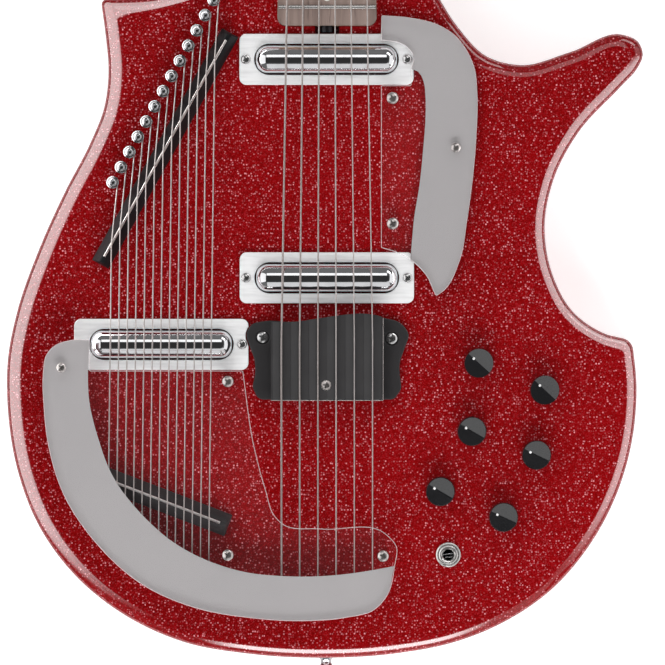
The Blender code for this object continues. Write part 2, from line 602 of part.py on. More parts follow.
def build_body():
    bm = bmesh.new()
    rings = []
    steps = 3
    for k in range(steps + 1):
        a = math.radians(90) * k / steps
        rings.append((BODY_ROUNDOVER * (1 - math.sin(a)), BODY_ROUNDOVER * (1 - math.cos(a))))
    levels = rings + [(inset, BODY_TOP - z) for inset, z in reversed(rings)]
    loft(bm, [[(x, y, z) for x, y in rounded_outline(BODY_OUTLINE, inset)] for inset, z in levels])
    body = make("body", bm, RED_FLAKE)

    pocket = bmesh.new()
    head = BODY_HEAD_Y + THROUGH
    side = neck_end_corner(4, GAP) + [(head, neck_width(head) / 2 + GAP)]
    prism(pocket, [(half, y) for y, half in side] + [(-half, y) for y, half in reversed(side)],
          POCKET_FLOOR, NECK_TOP + THROUGH)
    boolean(body, pocket)

    notch = bmesh.new()
    half = TRUSS_NOTCH_WIDTH / 2
    box(notch, (-half, NECK_END_Y - TRUSS_NOTCH_REACH, BODY_TOP - TRUSS_NOTCH_DEPTH),
        (half, NECK_END_Y + THROUGH, NECK_TOP))
    boolean(body, notch)

    routes = bmesh.new()
    for place in PICKUP_PLACES.values():
        grow = 2 * PICKUP_ROUTE_GAP
        shape = stadium(place, PICKUP_TUBE_LENGTH + grow, PICKUP_TUBE_DIAMETER + grow,
                        PICKUP_ROUTE_CORNER, 2)
        prism(routes, shape, BODY_TOP - PICKUP_ROUTE_DEPTH, BODY_TOP + THROUGH)
    boolean(body, routes)

    recesses = bmesh.new()
    plate(recesses, CONTROL_OUTLINE, -THROUGH, BACK_RECESS, inset=-COVER_LEDGE - GAP, spacing=1.0)
    prism(recesses, neck_plate_outline(2 * GAP), -THROUGH, BACK_RECESS)
    boolean(body, recesses)

    cavity = bmesh.new()
    plate(cavity, CONTROL_OUTLINE, -THROUGH, CAVITY_TOP, spacing=1.0)
    boolean(body, cavity)

    holes = bmesh.new()
    for k in range(DRONE_COUNT):
        turned(holes, [(PIN_SHAFT_RADIUS + RUNNING_GAP, BODY_TOP - PIN_BURIED - GAP),
                       (PIN_SHAFT_RADIUS + RUNNING_GAP, BODY_TOP + THROUGH)],
               8, (*pin_place(k), 0.0))
    for x, y, _ in KNOBS:
        turned(holes, [(KNOB_SHAFT_RADIUS + 2 * RUNNING_GAP, CAVITY_TOP - THROUGH),
                       (KNOB_SHAFT_RADIUS + 2 * RUNNING_GAP, BODY_TOP + THROUGH)], 12, (x, y, 0.0))
    turned(holes, [(JACK_BARREL_RADIUS + RUNNING_GAP, CAVITY_TOP - THROUGH),
                   (JACK_BARREL_RADIUS + RUNNING_GAP, BODY_TOP + THROUGH)], 16, (*JACK_PLACE, 0.0))
    boolean(body, holes)
    for frame in BUTTON_FRAMES.values():
        hole = bmesh.new()
        turned(hole, [(BUTTON_SCREW_RADIUS + GAP, -THROUGH),
                      (BUTTON_SCREW_RADIUS + GAP, BUTTON_SCREW_LENGTH + GAP)], 10)
        hole.transform(frame)
        boolean(body, hole)

    for path in LEAD_PATHS:
        channel = bmesh.new()
        wire(channel, path, LEAD_CHANNEL_RADIUS, 8)
        boolean(body, channel)


def build_neck():
    bm = bmesh.new()
    heel_depth = NECK_TOP - POCKET_FLOOR - GAP
    heel_end = BODY_HEAD_Y + HEEL_PAST_BODY
    shaft = heel_end + HEEL_SLOPE_LENGTH
    near_nut = NUT_Y - 2 * HEAD_ROOT
    stations = [(y, half, heel_depth, 14.0) for y, half in neck_end_corner(4)]
    stations += [(y, neck_width(min(y, NUT_Y)) / 2, depth, squareness) for y, depth, squareness in (
        (heel_end, heel_depth, 14.0), (lerp(heel_end, shaft, 0.4), NECK_DEPTH * 1.1, 5.0),
        (shaft, NECK_DEPTH, 2.4),
        (lerp(shaft, near_nut, 0.5), (NECK_DEPTH + NECK_DEPTH_NUT) / 2, 2.3),
        (near_nut, NECK_DEPTH_NUT, 2.3), (NUT_Y + NUT_LENGTH + HEAD_UNDERCUT, NECK_DEPTH, 2.6))]
    rings = []
    for y, half, depth, squareness in stations:
        ring = []
        for k in range(NECK_STEPS + 1):
            a = math.pi * k / NECK_STEPS
            c, s = math.cos(a), math.sin(a)
            x = math.copysign(abs(c) ** (2 / squareness), c) * half
            ring.append((x, y, NECK_TOP - depth * s ** (2 / squareness)))
        rings.append(ring)
    loft(bm, rings)
    neck = make("neck", bm, MAPLE)

    head = bmesh.new()
    loft(head, [[(x, y, z) for x, y in rounded_outline(head_outline(), inset, OUTLINE_SPACING / 2)]
                for z, inset in ((HEAD_BOTTOM, HEAD_EDGE), (HEAD_BOTTOM + HEAD_EDGE, 0.0),
                                 (HEAD_TOP - HEAD_EDGE, 0.0), (HEAD_TOP, HEAD_EDGE))])
    boolean(neck, head, "UNION")

    cuts = bmesh.new()
    half = TRUSS_ROD_DIAMETER / 2 + GAP
    rod_end = NUT_Y - TRUSS_ROD_SHORT_OF_NUT
    box(cuts, (-half, NECK_END_Y - THROUGH, NECK_TOP - TRUSS_CHANNEL_DEPTH),
        (half, rod_end + 5 * GAP, NECK_TOP + THROUGH))
    for i in range(TUNER_COUNT):
        turned(cuts, [(POST_RADIUS + RUNNING_GAP, HEAD_BOTTOM - THROUGH),
                      (POST_RADIUS + RUNNING_GAP, HEAD_TOP + THROUGH)], 12, (*post_place(i), 0.0))
    boolean(neck, cuts)


def cambered(bm, stations, bottom, top):
    """A strip through (y, half width) stations whose upper face follows the board's camber."""
    rings = []
    for y, half in stations:
        ring = [(-half, y, bottom), (half, y, bottom)]
        for k in range(5):
            x = lerp(half, -half, k / 4)
            drop = BOARD_CAMBER_RADIUS - math.sqrt(BOARD_CAMBER_RADIUS ** 2 - x * x)
            ring.append((x, y, top - drop))
        rings.append(ring)
    loft(bm, rings)


def build_fingerboard():
    bm = bmesh.new()
    nut_end = NUT_Y - GAP
    stations = neck_end_corner(4) + [(nut_end, neck_width(nut_end) / 2)]
    cambered(bm, stations, BOARD_BOTTOM, BOARD_TOP)
    board = make("fingerboard", bm, ROSEWOOD)

    frets = bmesh.new()
    for n in range(1, FRET_COUNT + 1):
        y = SCALE_LENGTH * 2 ** (-n / 12)
        half = neck_width(y) / 2 - FRET_SHORT_OF_EDGE
        cambered(frets, [(y - FRET_WIDTH / 2, half), (y + FRET_WIDTH / 2, half)],
                 BOARD_TOP - FRET_ROOT, BOARD_TOP + FRET_HEIGHT)
    boolean(board, frets, "UNION")


def build_string_nut():
    bm = bmesh.new()
    half = NECK_WIDTH_NUT / 2 - GAP
    top = STRING_AT_NUT + STRING_RADII[0]
    loft(bm, [[(-half, NUT_Y, z), (half, NUT_Y, z), (half, NUT_Y + length, z),
               (-half, NUT_Y + length, z)]
              for z, length in ((BOARD_BOTTOM, NUT_LENGTH), (top - NUT_EDGE, NUT_LENGTH),
                                (top, NUT_LENGTH - NUT_EDGE))])
    nut = make("string_nut", bm, BONE)
    slots = bmesh.new()
    for i, radius in enumerate(STRING_RADII):
        middle, wide = string_x(i, NUT_Y), radius + GAP
        side = [(middle + wide, top + THROUGH)]
        side += [(middle + wide * math.cos(a), STRING_AT_NUT - wide * math.sin(a))
                 for a in (math.pi * k / 4 for k in range(5))]
        side += [(middle - wide, top + THROUGH)]
        loft(slots, [[(x, y, z) for x, z in side] for y in (NUT_Y - THROUGH, NUT_Y + 2 * THROUGH)])
    boolean(nut, slots)


def build_truss_rod():
    bm = bmesh.new()
    rod, nut = TRUSS_ROD_DIAMETER / 2, TRUSS_NUT_DIAMETER / 2
    start, end = NECK_END_Y - GAP, NUT_Y - TRUSS_ROD_SHORT_OF_NUT
    turned(bm, [(nut, NECK_END_Y - TRUSS_NUT_REACH), (nut, start), (rod, start), (rod, end)], 12,
           (0.0, 0.0, NECK_TOP - TRUSS_ROD_DROP), "Y")
    make("truss_rod", bm, STEEL)


def build_back_plates():
    bm = bmesh.new()
    top = BACK_RECESS - GAP
    prism(bm, neck_plate_outline(), top - NECK_PLATE_THICKNESS, top)
    make("neck_plate", bm, CHROME)

    bm = bmesh.new()
    plate(bm, CONTROL_OUTLINE, top - COVER_THICKNESS, top, inset=-COVER_LEDGE, spacing=1.0)
    make("control_cover", bm, BLACK)


def build_tuners():
    first = post_place(0)
    pitch = (post_place(1) - first).length
    frame = Matrix.Translation((*first, 0.0)) @ Matrix.Rotation(POST_LINE_ANGLE, 4, "Z")
    end = pitch * (TUNER_COUNT - 1)

    bm = bmesh.new()
    prism(bm, stadium((end / 2, 0.0), end + 2 * TUNER_PLATE_OVERHANG, TUNER_PLATE_WIDTH,
                      TUNER_PLATE_CORNER, 2), TUNER_PLATE_BOTTOM, TUNER_PLATE_TOP)
    bm.transform(frame)
    strip = make("tuner_plate", bm, CHROME)
    housings = bmesh.new()
    levels = ((HOUSING_BOTTOM, HEAD_EDGE), (HOUSING_BOTTOM + HEAD_EDGE, 0.0),
              (TUNER_PLATE_BOTTOM + TUNER_PLATE_THICKNESS / 2, 0.0))
    for i in range(TUNER_COUNT):
        loft(housings, [[(*p, z) for p in stadium(
            (pitch * i, TUNER_HOUSING_SHIFT), TUNER_HOUSING_LENGTH - 2 * s, TUNER_HOUSING_WIDTH - 2 * s,
            TUNER_HOUSING_CORNER, 2)] for z, s in levels])
    housings.transform(frame)
    boolean(strip, housings, "UNION")
    bores = bmesh.new()
    for i in range(TUNER_COUNT):
        turned(bores, [(POST_RADIUS + RUNNING_GAP, HOUSING_BOTTOM + TUNER_HOUSING_FLOOR),
                       (POST_RADIUS + RUNNING_GAP, TUNER_PLATE_TOP + THROUGH)],
               10, (pitch * i, 0.0, 0.0))
        turned(bores, [(KEY_SHAFT_RADIUS + RUNNING_GAP, KEY_BORE_START),
                       (KEY_SHAFT_RADIUS + RUNNING_GAP, KEY_BORE_START + TUNER_HOUSING_WIDTH)],
               8, (pitch * i, 0.0, KEY_AXIS_Z), "Y")
    bores.transform(frame)
    boolean(strip, bores)

    for i in range(TUNER_COUNT):
        place = post_place(i)
        bm = bmesh.new()
        top, edge = HEAD_TOP + POST_STANDS, POST_RADIUS - POST_WAIST_RADIUS
        turned(bm, [(POST_RADIUS, HOUSING_BOTTOM + TUNER_HOUSING_FLOOR + GAP),
                    (POST_RADIUS, HEAD_TOP + POST_COLLAR),
                    (POST_WAIST_RADIUS, HEAD_TOP + POST_COLLAR + 2 * edge),
                    (POST_WAIST_RADIUS, top - POST_CAP), (POST_RADIUS, top - POST_CAP + 2 * edge),
                    (POST_RADIUS, top - edge), (POST_WAIST_RADIUS, top)], 12)
        make(f"tuner_post_{i + 1}", bm, CHROME, (*place, 0.0), POST_LINE_ANGLE)

        bm = bmesh.new()
        start = HEAD_EDGE_FROM_POSTS + KEY_BUTTON_STANDOFF
        turned(bm, [(KEY_SHAFT_RADIUS, KEY_BORE_START + GAP),
                    (KEY_SHAFT_RADIUS, start + KEY_SHAFT_RADIUS)], 8, axis="Y")
        key = make(f"tuner_key_{i + 1}", bm, CHROME, (*place, KEY_AXIS_Z), POST_LINE_ANGLE)
        button = bmesh.new()
        turned(button, [(KEY_BUTTON_WIDTH / 2 * wide, start + KEY_BUTTON_LENGTH * along)
                        for wide, along in KEY_BUTTON_SHAPE], 12, axis="Y")
        flat = Matrix.Scale(KEY_BUTTON_THICKNESS / KEY_BUTTON_WIDTH, 4, (0.0, 0.0, 1.0))
        button.transform(Matrix.Translation((*place, KEY_AXIS_Z))
                         @ Matrix.Rotation(POST_LINE_ANGLE, 4, "Z") @ flat)
        boolean(key, button, "UNION")


def build_pickups():
    for name, place in PICKUP_PLACES.items():
        bottom = BODY_TOP + GAP
        top = bottom + SURROUND_THICKNESS
        bm = bmesh.new()
        loft(bm, [[(*p, z) for p in stadium(place, SURROUND_LENGTH - 2 * s, SURROUND_WIDTH - 2 * s,
                                            SURROUND_CORNER - s, 3)]
                  for z, s in ((bottom, 0.0), (top - SURROUND_EDGE, 0.0), (top, SURROUND_EDGE))])
        surround = make(f"{name}_pickup_surround", bm, SATIN)
        slot = bmesh.new()
        grow = 2 * PICKUP_SLOT_GAP
        prism(slot, stadium(place, PICKUP_TUBE_LENGTH + grow, PICKUP_TUBE_DIAMETER + grow, None, 5),
              bottom - THROUGH, top + THROUGH)
        boolean(surround, slot)
        if name == "drone":
            clear = bmesh.new()
            plate(clear, BRIDGE_OUTLINE, bottom - THROUGH, top + THROUGH, inset=-2 * GAP)
            boolean(surround, clear)

        bm = bmesh.new()
        radius, half = PICKUP_TUBE_DIAMETER / 2, PICKUP_TUBE_LENGTH / 2
        side = []
        for k in range(4):
            a = math.radians(90) * k / 3
            side.append((radius - PICKUP_END_ROUNDING * (1 - math.sin(a)),
                         half - PICKUP_END_ROUNDING * (1 - math.cos(a))))
        profile = [(r, -h) for r, h in side] + [(r, h) for r, h in reversed(side)]
        turned(bm, profile, 18, (*place, BODY_TOP + PICKUP_RISE), "X")
        make(f"{name}_pickup_tube", bm, CHROME)


def plate_front_y(x):
    """Front edge of the buzz plate at a sideways place, along a smooth curve."""
    spots = [(a * MM, b * MM) for a, b in PLATE_FRONT]
    for (xa, ya), (xb, yb) in zip(spots, spots[1:]):
        if x <= xb + MM * 0.01:
            t = (x - xa) / (xb - xa)
            return lerp(ya, yb, t * t * (3 - 2 * t))
    return spots[-1][1]


def plate_height(x, y):
    """Upper face of the buzz plate: a crown along the strings, a rib under each string."""
    pitch = STRING_SPREAD_BRIDGE / (TUNER_COUNT - 1)
    phase = (x + STRING_SPREAD_BRIDGE / 2) / pitch
    away = abs(phase - round(phase)) * 2
    valley = BRIDGE_RIB_DEPTH * away ** 1.5
    return PLATE_CROWN - PLATE_FALL * y * y - valley


def build_bridge():
    bm = bmesh.new()
    plate(bm, BRIDGE_OUTLINE, BODY_TOP + GAP, BRIDGE_BASE_TOP, edge=BRIDGE_EDGE)
    base = make("bridge_base", bm, BLACK)
    holes = bmesh.new()
    for x, y in BRIDGE_SCREWS:
        turned(holes, [(BRIDGE_SCREW_RADIUS, BRIDGE_BASE_TOP - BRIDGE_SCREW_RECESS),
                       (BRIDGE_SCREW_RADIUS, BRIDGE_BASE_TOP + THROUGH)], 14, (x, y, 0.0))
    boolean(base, holes)

    bm = bmesh.new()
    columns, rows = 30, 4
    bottom = BRIDGE_BASE_TOP + GAP
    top = []
    for j in range(rows + 1):
        line = []
        for i in range(columns + 1):
            x = lerp(-PLATE_WIDTH / 2, PLATE_WIDTH / 2, i / columns)
            y = lerp(PLATE_REAR_Y, plate_front_y(x), j / rows)
            line.append(bm.verts.new((x, y, plate_height(x, y))))
        top.append(line)
    for j in range(rows):
        for i in range(columns):
            bm.faces.new((top[j][i], top[j][i + 1], top[j + 1][i + 1], top[j + 1][i]))
    rim = top[0][:] + [top[j][-1] for j in range(1, rows + 1)] + top[-1][-2::-1]
    rim += [top[j][0] for j in range(rows - 1, 0, -1)]
    foot = [bm.verts.new((v.co.x, v.co.y, bottom)) for v in rim]
    for k in range(len(rim)):
        j = (k + 1) % len(rim)
        bm.faces.new((foot[k], foot[j], rim[j], rim[k]))
    bm.faces.new(list(reversed(foot)))
    buzz = make("buzz_plate", bm, BLACK)
    hole = bmesh.new()
    turned(hole, [(PLATE_SCREW_RADIUS, PLATE_CROWN - PLATE_SCREW_RECESS),
                  (PLATE_SCREW_RADIUS, PLATE_CROWN + THROUGH)], 14, (*PLATE_SCREW, 0.0))
    boolean(buzz, hole)


def build_drone_bars():
    for name, ends, width in (("drone_nut", DRONE_NUT_ENDS, DRONE_NUT_WIDTH),
                              ("drone_bridge", DRONE_BRIDGE_ENDS, DRONE_BRIDGE_WIDTH)):
        bm = bmesh.new()
        crown = DRONE_BAR_CROWN / width
        low = BODY_TOP + GAP
        bar_between(bm, ends, width, [(low, 1.0, 0.0), (low + DRONE_BAR_FOOT, 1.0, 0.0),
                                      (DRONE_CROWN, crown, DRONE_BAR_END_SLOPE)])
        make(name, bm, BLACK)
        bm = bmesh.new()
        a, b = Vector(ends[0]), Vector(ends[1])
        along = (b - a).normalized() * WIRE_SHORT_OF_BAR
        wire(bm, [(*(a + along), DRONE_WIRE_Z), (*(b - along), DRONE_WIRE_Z)], DRONE_WIRE_RADIUS, 8)
        make(f"{name}_wire", bm, STEEL)


def build_drone_pins():
    for k in range(DRONE_COUNT):
        bm = bmesh.new()
        head = BODY_TOP + PIN_STANDS
        turned(bm, [(0.0, BODY_TOP - PIN_BURIED), (PIN_SHAFT_RADIUS, BODY_TOP - PIN_BURIED + PIN_TIP),
                    (PIN_SHAFT_RADIUS, head), (PIN_HEAD_RADIUS, head + PIN_HEAD_EDGE),
                    (PIN_HEAD_RADIUS, head + PIN_HEAD_HEIGHT * 0.4),
                    (PIN_HEAD_RADIUS * 0.7, head + PIN_HEAD_HEIGHT * 0.8),
                    (0.0, head + PIN_HEAD_HEIGHT)], 12)
        make(f"drone_pin_{k + 1:02d}", bm, CHROME, (*pin_place(k), 0.0))


def guard(name, knots, screws, low, thickness):
    """A clear guard on round spacers that stand on the body."""
    bm = bmesh.new()
    plate(bm, knots, low, low + thickness, edge=GUARD_EDGE)
    sheet = make(name, bm, ACRYLIC)
    spacers = bmesh.new()
    for x, y in screws:
        turned(spacers, [(SPACER_RADIUS, BODY_TOP + GAP), (SPACER_RADIUS, low + thickness / 2)],
               14, (x, y, 0.0))
    boolean(sheet, spacers, "UNION")


def build_guards():
    slide = NECK_PICKUP[1] - UPPER_GUARD_DRAWN_TO
    beside_pickup = UPPER_GUARD_SCREWS[0][1] - SPACER_RADIUS
    knots = [(x, y + slide / MM * (y * MM > beside_pickup), *corner)
             for x, y, *corner in UPPER_GUARD_OUTLINE]
    screws = [(x, y + slide * (y > beside_pickup)) for x, y in UPPER_GUARD_SCREWS]
    guard("upper_guard", knots, screws, UPPER_GUARD_Z, UPPER_GUARD_THICKNESS)
    guard("lower_guard", LOWER_GUARD_OUTLINE, LOWER_GUARD_SCREWS, LOWER_GUARD_Z,
          LOWER_GUARD_THICKNESS)


def build_controls():
    plate_top = CAVITY_TOP - GAP
    plate_bottom = plate_top - POT_PLATE_THICKNESS
    pot_bottom = plate_bottom - POT_DEPTH
    bm = bmesh.new()
    plate(bm, CONTROL_OUTLINE, plate_bottom, plate_top, inset=RUNNING_GAP, spacing=1.0)
    cluster = make("pot_plate", bm, STEEL)
    pots = bmesh.new()
    bores = bmesh.new()
    for x, y, _ in KNOBS:
        turned(pots, [(POT_RADIUS - POT_EDGE, pot_bottom), (POT_RADIUS, pot_bottom + POT_EDGE),
                      (POT_RADIUS, plate_bottom + POT_PLATE_THICKNESS / 2)], 12, (x, y, 0.0))
        turned(bores, [(KNOB_SHAFT_RADIUS + RUNNING_GAP, pot_bottom + POT_FLOOR),
                       (KNOB_SHAFT_RADIUS + RUNNING_GAP, plate_top + THROUGH)], 12, (x, y, 0.0))
    turned(bores, [(JACK_BARREL_RADIUS + 2 * RUNNING_GAP, plate_bottom - THROUGH),
                   (JACK_BARREL_RADIUS + 2 * RUNNING_GAP, plate_top + THROUGH)], 16, (*JACK_PLACE, 0.0))
    boolean(cluster, pots, "UNION")
    boolean(cluster, bores)

    for number, (x, y, pointer) in enumerate(KNOBS, 1):
        bm = bmesh.new()
        steps = 24
        base = BODY_TOP + RUNNING_GAP
        turns = [2 * math.pi * k / steps for k in range(steps)]
        spots = [(KNOB_RADIUS * math.cos(a), KNOB_RADIUS * math.sin(a)) for a in turns]
        fall = (KNOB_HEIGHT - KNOB_EDGE_HEIGHT) / KNOB_RADIUS
        shaft = [(KNOB_SHAFT_RADIUS * math.cos(a), KNOB_SHAFT_RADIUS * math.sin(a)) for a in turns]
        foot = [bm.verts.new((px, py, base)) for px, py in spots]
        rim = [bm.verts.new((px, py, base + KNOB_HEIGHT - fall * abs(py)))
               for px, py in (Vector(spot) * KNOB_TAPER for spot in spots)]
        neck = [bm.verts.new((px, py, base)) for px, py in shaft]
        tip = [bm.verts.new((px, py, pot_bottom + POT_FLOOR + GAP)) for px, py in shaft]
        for low, high in ((tip, neck), (neck, foot), (foot, rim)):
            for k in range(steps):
                j = (k + 1) % steps
                bm.faces.new((low[k], low[j], high[j], high[k]))
        bm.faces.new(list(reversed(tip)))
        bm.faces.new(rim[:steps // 2 + 1])
        bm.faces.new(rim[steps // 2:] + rim[:1])
        make(f"knob_{number}", bm, BLACK, (x, y, 0.0), math.radians(pointer))

    bm = bmesh.new()
    seat = BODY_TOP + GAP
    washer_top = seat + JACK_WASHER_THICKNESS
    nut_top = washer_top + JACK_NUT_HEIGHT
    body_top = plate_bottom - JACK_BODY_DROP
    turned(bm, [(JACK_BORE_RADIUS, nut_top + JACK_LIP), (JACK_BARREL_RADIUS - GAP, nut_top + JACK_LIP),
                (JACK_BARREL_RADIUS, nut_top), (JACK_NUT_RADIUS, nut_top),
                (JACK_NUT_RADIUS, washer_top), (JACK_WASHER_RADIUS, washer_top),
                (JACK_WASHER_RADIUS, seat), (JACK_BARREL_RADIUS, seat),
                (JACK_BARREL_RADIUS, body_top), (JACK_BODY_RADIUS, body_top),
                (JACK_BODY_RADIUS, body_top - JACK_BODY_LENGTH),
                (JACK_BORE_RADIUS, body_top - JACK_BODY_LENGTH)],
           16, (*JACK_PLACE, 0.0), bored=True)
    make("output_jack", bm, CHROME)


def side_frame(x, side):
    """A frame on the body's side at sideways place x, with +Z pointing into the wood."""
    outline = rounded_outline(BODY_OUTLINE)
    best = None
    for a, b in zip(outline, outline[1:] + outline[:1]):
        if min(a.x, b.x) <= x <= max(a.x, b.x) and a.x != b.x:
            spot = a + (b - a) * ((x - a.x) / (b.x - a.x))
            if best is None or spot.y * side > best[0].y * side:
                best = (spot, (b - a).normalized())
    spot, along = best
    inward = Vector((-along.y, along.x, 0.0))
    turn = Matrix((Vector((0.0, 0.0, 1.0)).cross(inward), (0.0, 0.0, 1.0), inward)).transposed()
    return Matrix.Translation((spot.x, spot.y, MID_HEIGHT)) @ turn.to_4x4()


def build_strap_buttons():
    for name, frame in BUTTON_FRAMES.items():
        bm = bmesh.new()
        turned(bm, [(BUTTON_FLANGE_RADIUS * 0.7, -BUTTON_LENGTH),
                    (BUTTON_FLANGE_RADIUS, -BUTTON_LENGTH + BUTTON_FLANGE_THICKNESS * 0.5),
                    (BUTTON_FLANGE_RADIUS * 0.9, -BUTTON_LENGTH + BUTTON_FLANGE_THICKNESS),
                    (BUTTON_NECK_RADIUS, -BUTTON_LENGTH + BUTTON_FLANGE_THICKNESS * 1.7),
                    (BUTTON_NECK_RADIUS * 1.3, -GAP), (BUTTON_SCREW_RADIUS, -GAP),
                    (BUTTON_SCREW_RADIUS, BUTTON_SCREW_LENGTH)], 14)
        bm.transform(frame)
        make(name, bm, CHROME)


def build_playing_strings():
    strings = bmesh.new()
    behind = [PLATE_REAR_Y, PLATE_REAR_Y * 2 / 3, PLATE_REAR_Y / 3, 0.0]
    for i, radius in enumerate(STRING_RADII):
        lift = STRING_AT_BRIDGE - STRING_RADII[0] + radius
        path = [(string_x(i, 0.0), TAIL_Y, BODY_TOP + TAIL_STRING_HEIGHT)]
        path += [(string_x(i, 0.0), y, lift - PLATE_FALL * y * y) for y in behind]
        level = STRING_AT_NUT
        path += [(string_x(i, NUT_Y), y, level) for y in (NUT_Y, NUT_Y + NUT_LENGTH + GAP)]
        path += wraps(post_place(i), POST_WAIST_RADIUS + GAP + radius, STRING_WRAP_TURNS,
                      HEAD_TOP + POST_STANDS - POST_CAP - 2 * radius, 2 * radius + WRAP_GAP, 8)
        wire(strings, path, radius, 5)
    bm = bmesh.new()
    low = BODY_TOP + GAP
    back, step, front = (TAIL_Y + TAIL_LENGTH * share for share in (-0.5, 0.4, 1.0))
    side = [(back, low), (front, low), (front, low + TAIL_LIP_HEIGHT), (step, low + TAIL_LIP_HEIGHT),
            (step - TAIL_LIP_HEIGHT, low + TAIL_HEIGHT), (back, low + TAIL_HEIGHT)]
    loft(bm, [[(x, y, z) for y, z in side] for x in (-TAIL_WIDTH / 2, TAIL_WIDTH / 2)])
    tail = make("playing_strings", bm, STEEL)
    boolean(tail, strings, "UNION")


def build_drone_strings():
    strings = bmesh.new()
    for k in range(DRONE_COUNT):
        end = drone_crossing(k, DRONE_TAIL_ENDS)
        low = drone_crossing(k, DRONE_BRIDGE_ENDS)
        high = drone_crossing(k, DRONE_NUT_ENDS)
        radius = DRONE_STRING_RADIUS
        path = [(*end, BODY_TOP + DRONE_TAIL_HEIGHT * 0.7), (*low, DRONE_STRING_Z),
                (*high, DRONE_STRING_Z)]
        path += wraps(pin_place(k), PIN_SHAFT_RADIUS + GAP + radius, DRONE_WRAP_TURNS,
                      BODY_TOP + PIN_STANDS - 4 * radius, 2 * radius + WRAP_GAP, 6)
        wire(strings, path, radius, 4)
    bm = bmesh.new()
    low = BODY_TOP + GAP
    top = low + DRONE_TAIL_HEIGHT
    bar_between(bm, DRONE_TAIL_ENDS, DRONE_TAIL_WIDTH,
                [(low, 1.0, 0.0), (top - DRONE_TAIL_EDGE, 1.0, 0.0), (top, 0.75, DRONE_TAIL_EDGE)])
    tail = make("drone_strings", bm, STEEL)
    boolean(tail, strings, "UNION")


def build_leads():
    bm = bmesh.new()
    wire(bm, LEAD_PATHS[0], LEAD_RADIUS, 8)
    leads = make("pickup_leads", bm, INSULATION)
    branch = bmesh.new()
    wire(branch, LEAD_PATHS[1], LEAD_RADIUS, 8)
    boolean(leads, branch, "UNION")


def lead_paths():
    """Two runs of lead: drone and middle pickups to the first pot, neck pickup to the middle."""
    drone, middle, neck = (Vector(PICKUP_PLACES[n]) for n in ("drone", "middle", "neck"))
    pot = Vector(KNOBS[0][:2])
    corner = middle + Vector((LEAD_TURN, 0.0))
    reach = pot - (pot - corner).normalized() * (POT_RADIUS + GAP + LEAD_RADIUS)
    out = Vector((LEAD_FROM_PICKUP, 0.0))
    main = [drone + out, middle - out, corner, reach]
    branch = [neck, middle]
    return [[(*p, LEAD_HEIGHT) for p in run] for run in (main, branch)]


LEAD_PATHS = lead_paths()
BUTTON_FRAMES = {"strap_button_tail": side_frame(TAIL_BUTTON_X, -1),
                 "strap_button_shoulder": side_frame(SHOULDER_BUTTON_X, 1)}

build_body()
build_neck()
build_fingerboard()
build_string_nut()
build_truss_rod()
build_back_plates()
build_tuners()
build_pickups()
build_bridge()
build_drone_bars()
build_drone_pins()
build_guards()
build_controls()
build_strap_buttons()
build_playing_strings()
build_drone_strings()
build_leads()
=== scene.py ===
# %% [markdown]
# # Dressing an electric sitar
# The instrument has already been modelled as solids with joints. This lesson loads that
# frame, keeps the solids whose shape is right, and makes finer pieces and procedural
# finishes for the rest, until a straight-down render looks like the product photograph.
# +X points to the treble side, +Y to the headstock and +Z out of the front. The origin lies
# on the flat back, under the crown of the buzz bridge. Lengths are in millimetres, and the
# modelling helpers turn them into metres.

import json
import math

import bmesh
import bpy
from mathutils import Matrix, Vector

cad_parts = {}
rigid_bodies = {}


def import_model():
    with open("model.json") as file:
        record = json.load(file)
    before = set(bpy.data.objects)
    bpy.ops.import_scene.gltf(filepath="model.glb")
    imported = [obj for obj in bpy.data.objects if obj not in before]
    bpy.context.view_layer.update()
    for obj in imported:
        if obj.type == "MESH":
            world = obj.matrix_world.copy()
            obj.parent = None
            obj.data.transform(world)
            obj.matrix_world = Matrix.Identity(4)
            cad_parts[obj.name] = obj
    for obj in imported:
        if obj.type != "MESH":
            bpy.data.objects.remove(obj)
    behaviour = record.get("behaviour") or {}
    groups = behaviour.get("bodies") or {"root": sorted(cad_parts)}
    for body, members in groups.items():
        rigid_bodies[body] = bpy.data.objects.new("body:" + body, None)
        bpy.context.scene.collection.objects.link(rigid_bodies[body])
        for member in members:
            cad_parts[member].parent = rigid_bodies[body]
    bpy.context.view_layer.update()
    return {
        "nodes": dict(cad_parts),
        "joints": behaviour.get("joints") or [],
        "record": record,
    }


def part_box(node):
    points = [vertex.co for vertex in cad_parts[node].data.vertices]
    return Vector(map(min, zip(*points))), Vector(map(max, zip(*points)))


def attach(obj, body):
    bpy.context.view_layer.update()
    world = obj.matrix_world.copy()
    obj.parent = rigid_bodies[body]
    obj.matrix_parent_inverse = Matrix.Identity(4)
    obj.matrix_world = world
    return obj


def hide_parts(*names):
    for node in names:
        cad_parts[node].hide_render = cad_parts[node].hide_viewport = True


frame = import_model()
MM = 0.001
BODY_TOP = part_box("body")[1].z / MM

# %% [markdown]
# ## The camera
# The photograph was taken straight from above through a long lens, so the body hardly
# shows its sides. One photo pixel is 0.565 mm on the body's face. A long lens far away
# gives the same near-parallel view, and keeps the pieces that stand higher in place.

# %% Camera
def placed(name, data):
    """A new object around its data, in the scene."""
    made = bpy.data.objects.new(name, data)
    bpy.context.collection.objects.link(made)
    return made


PIXEL, PHOTO_SIDE = 0.565 * MM, 665
camera = placed("camera", bpy.data.cameras.new("camera"))
lens = camera.data
lens.lens, lens.sensor_width = 600.0, 36.0
lens.clip_start, lens.clip_end = 0.5, 60.0
distance = PIXEL * PHOTO_SIDE * lens.lens / lens.sensor_width
camera.location = Vector((3.1, 5.1, BODY_TOP)) * MM + Vector((0.0, 0.0, distance))
bpy.context.scene.camera = camera
print(f"camera {distance:.2f} m above the face")

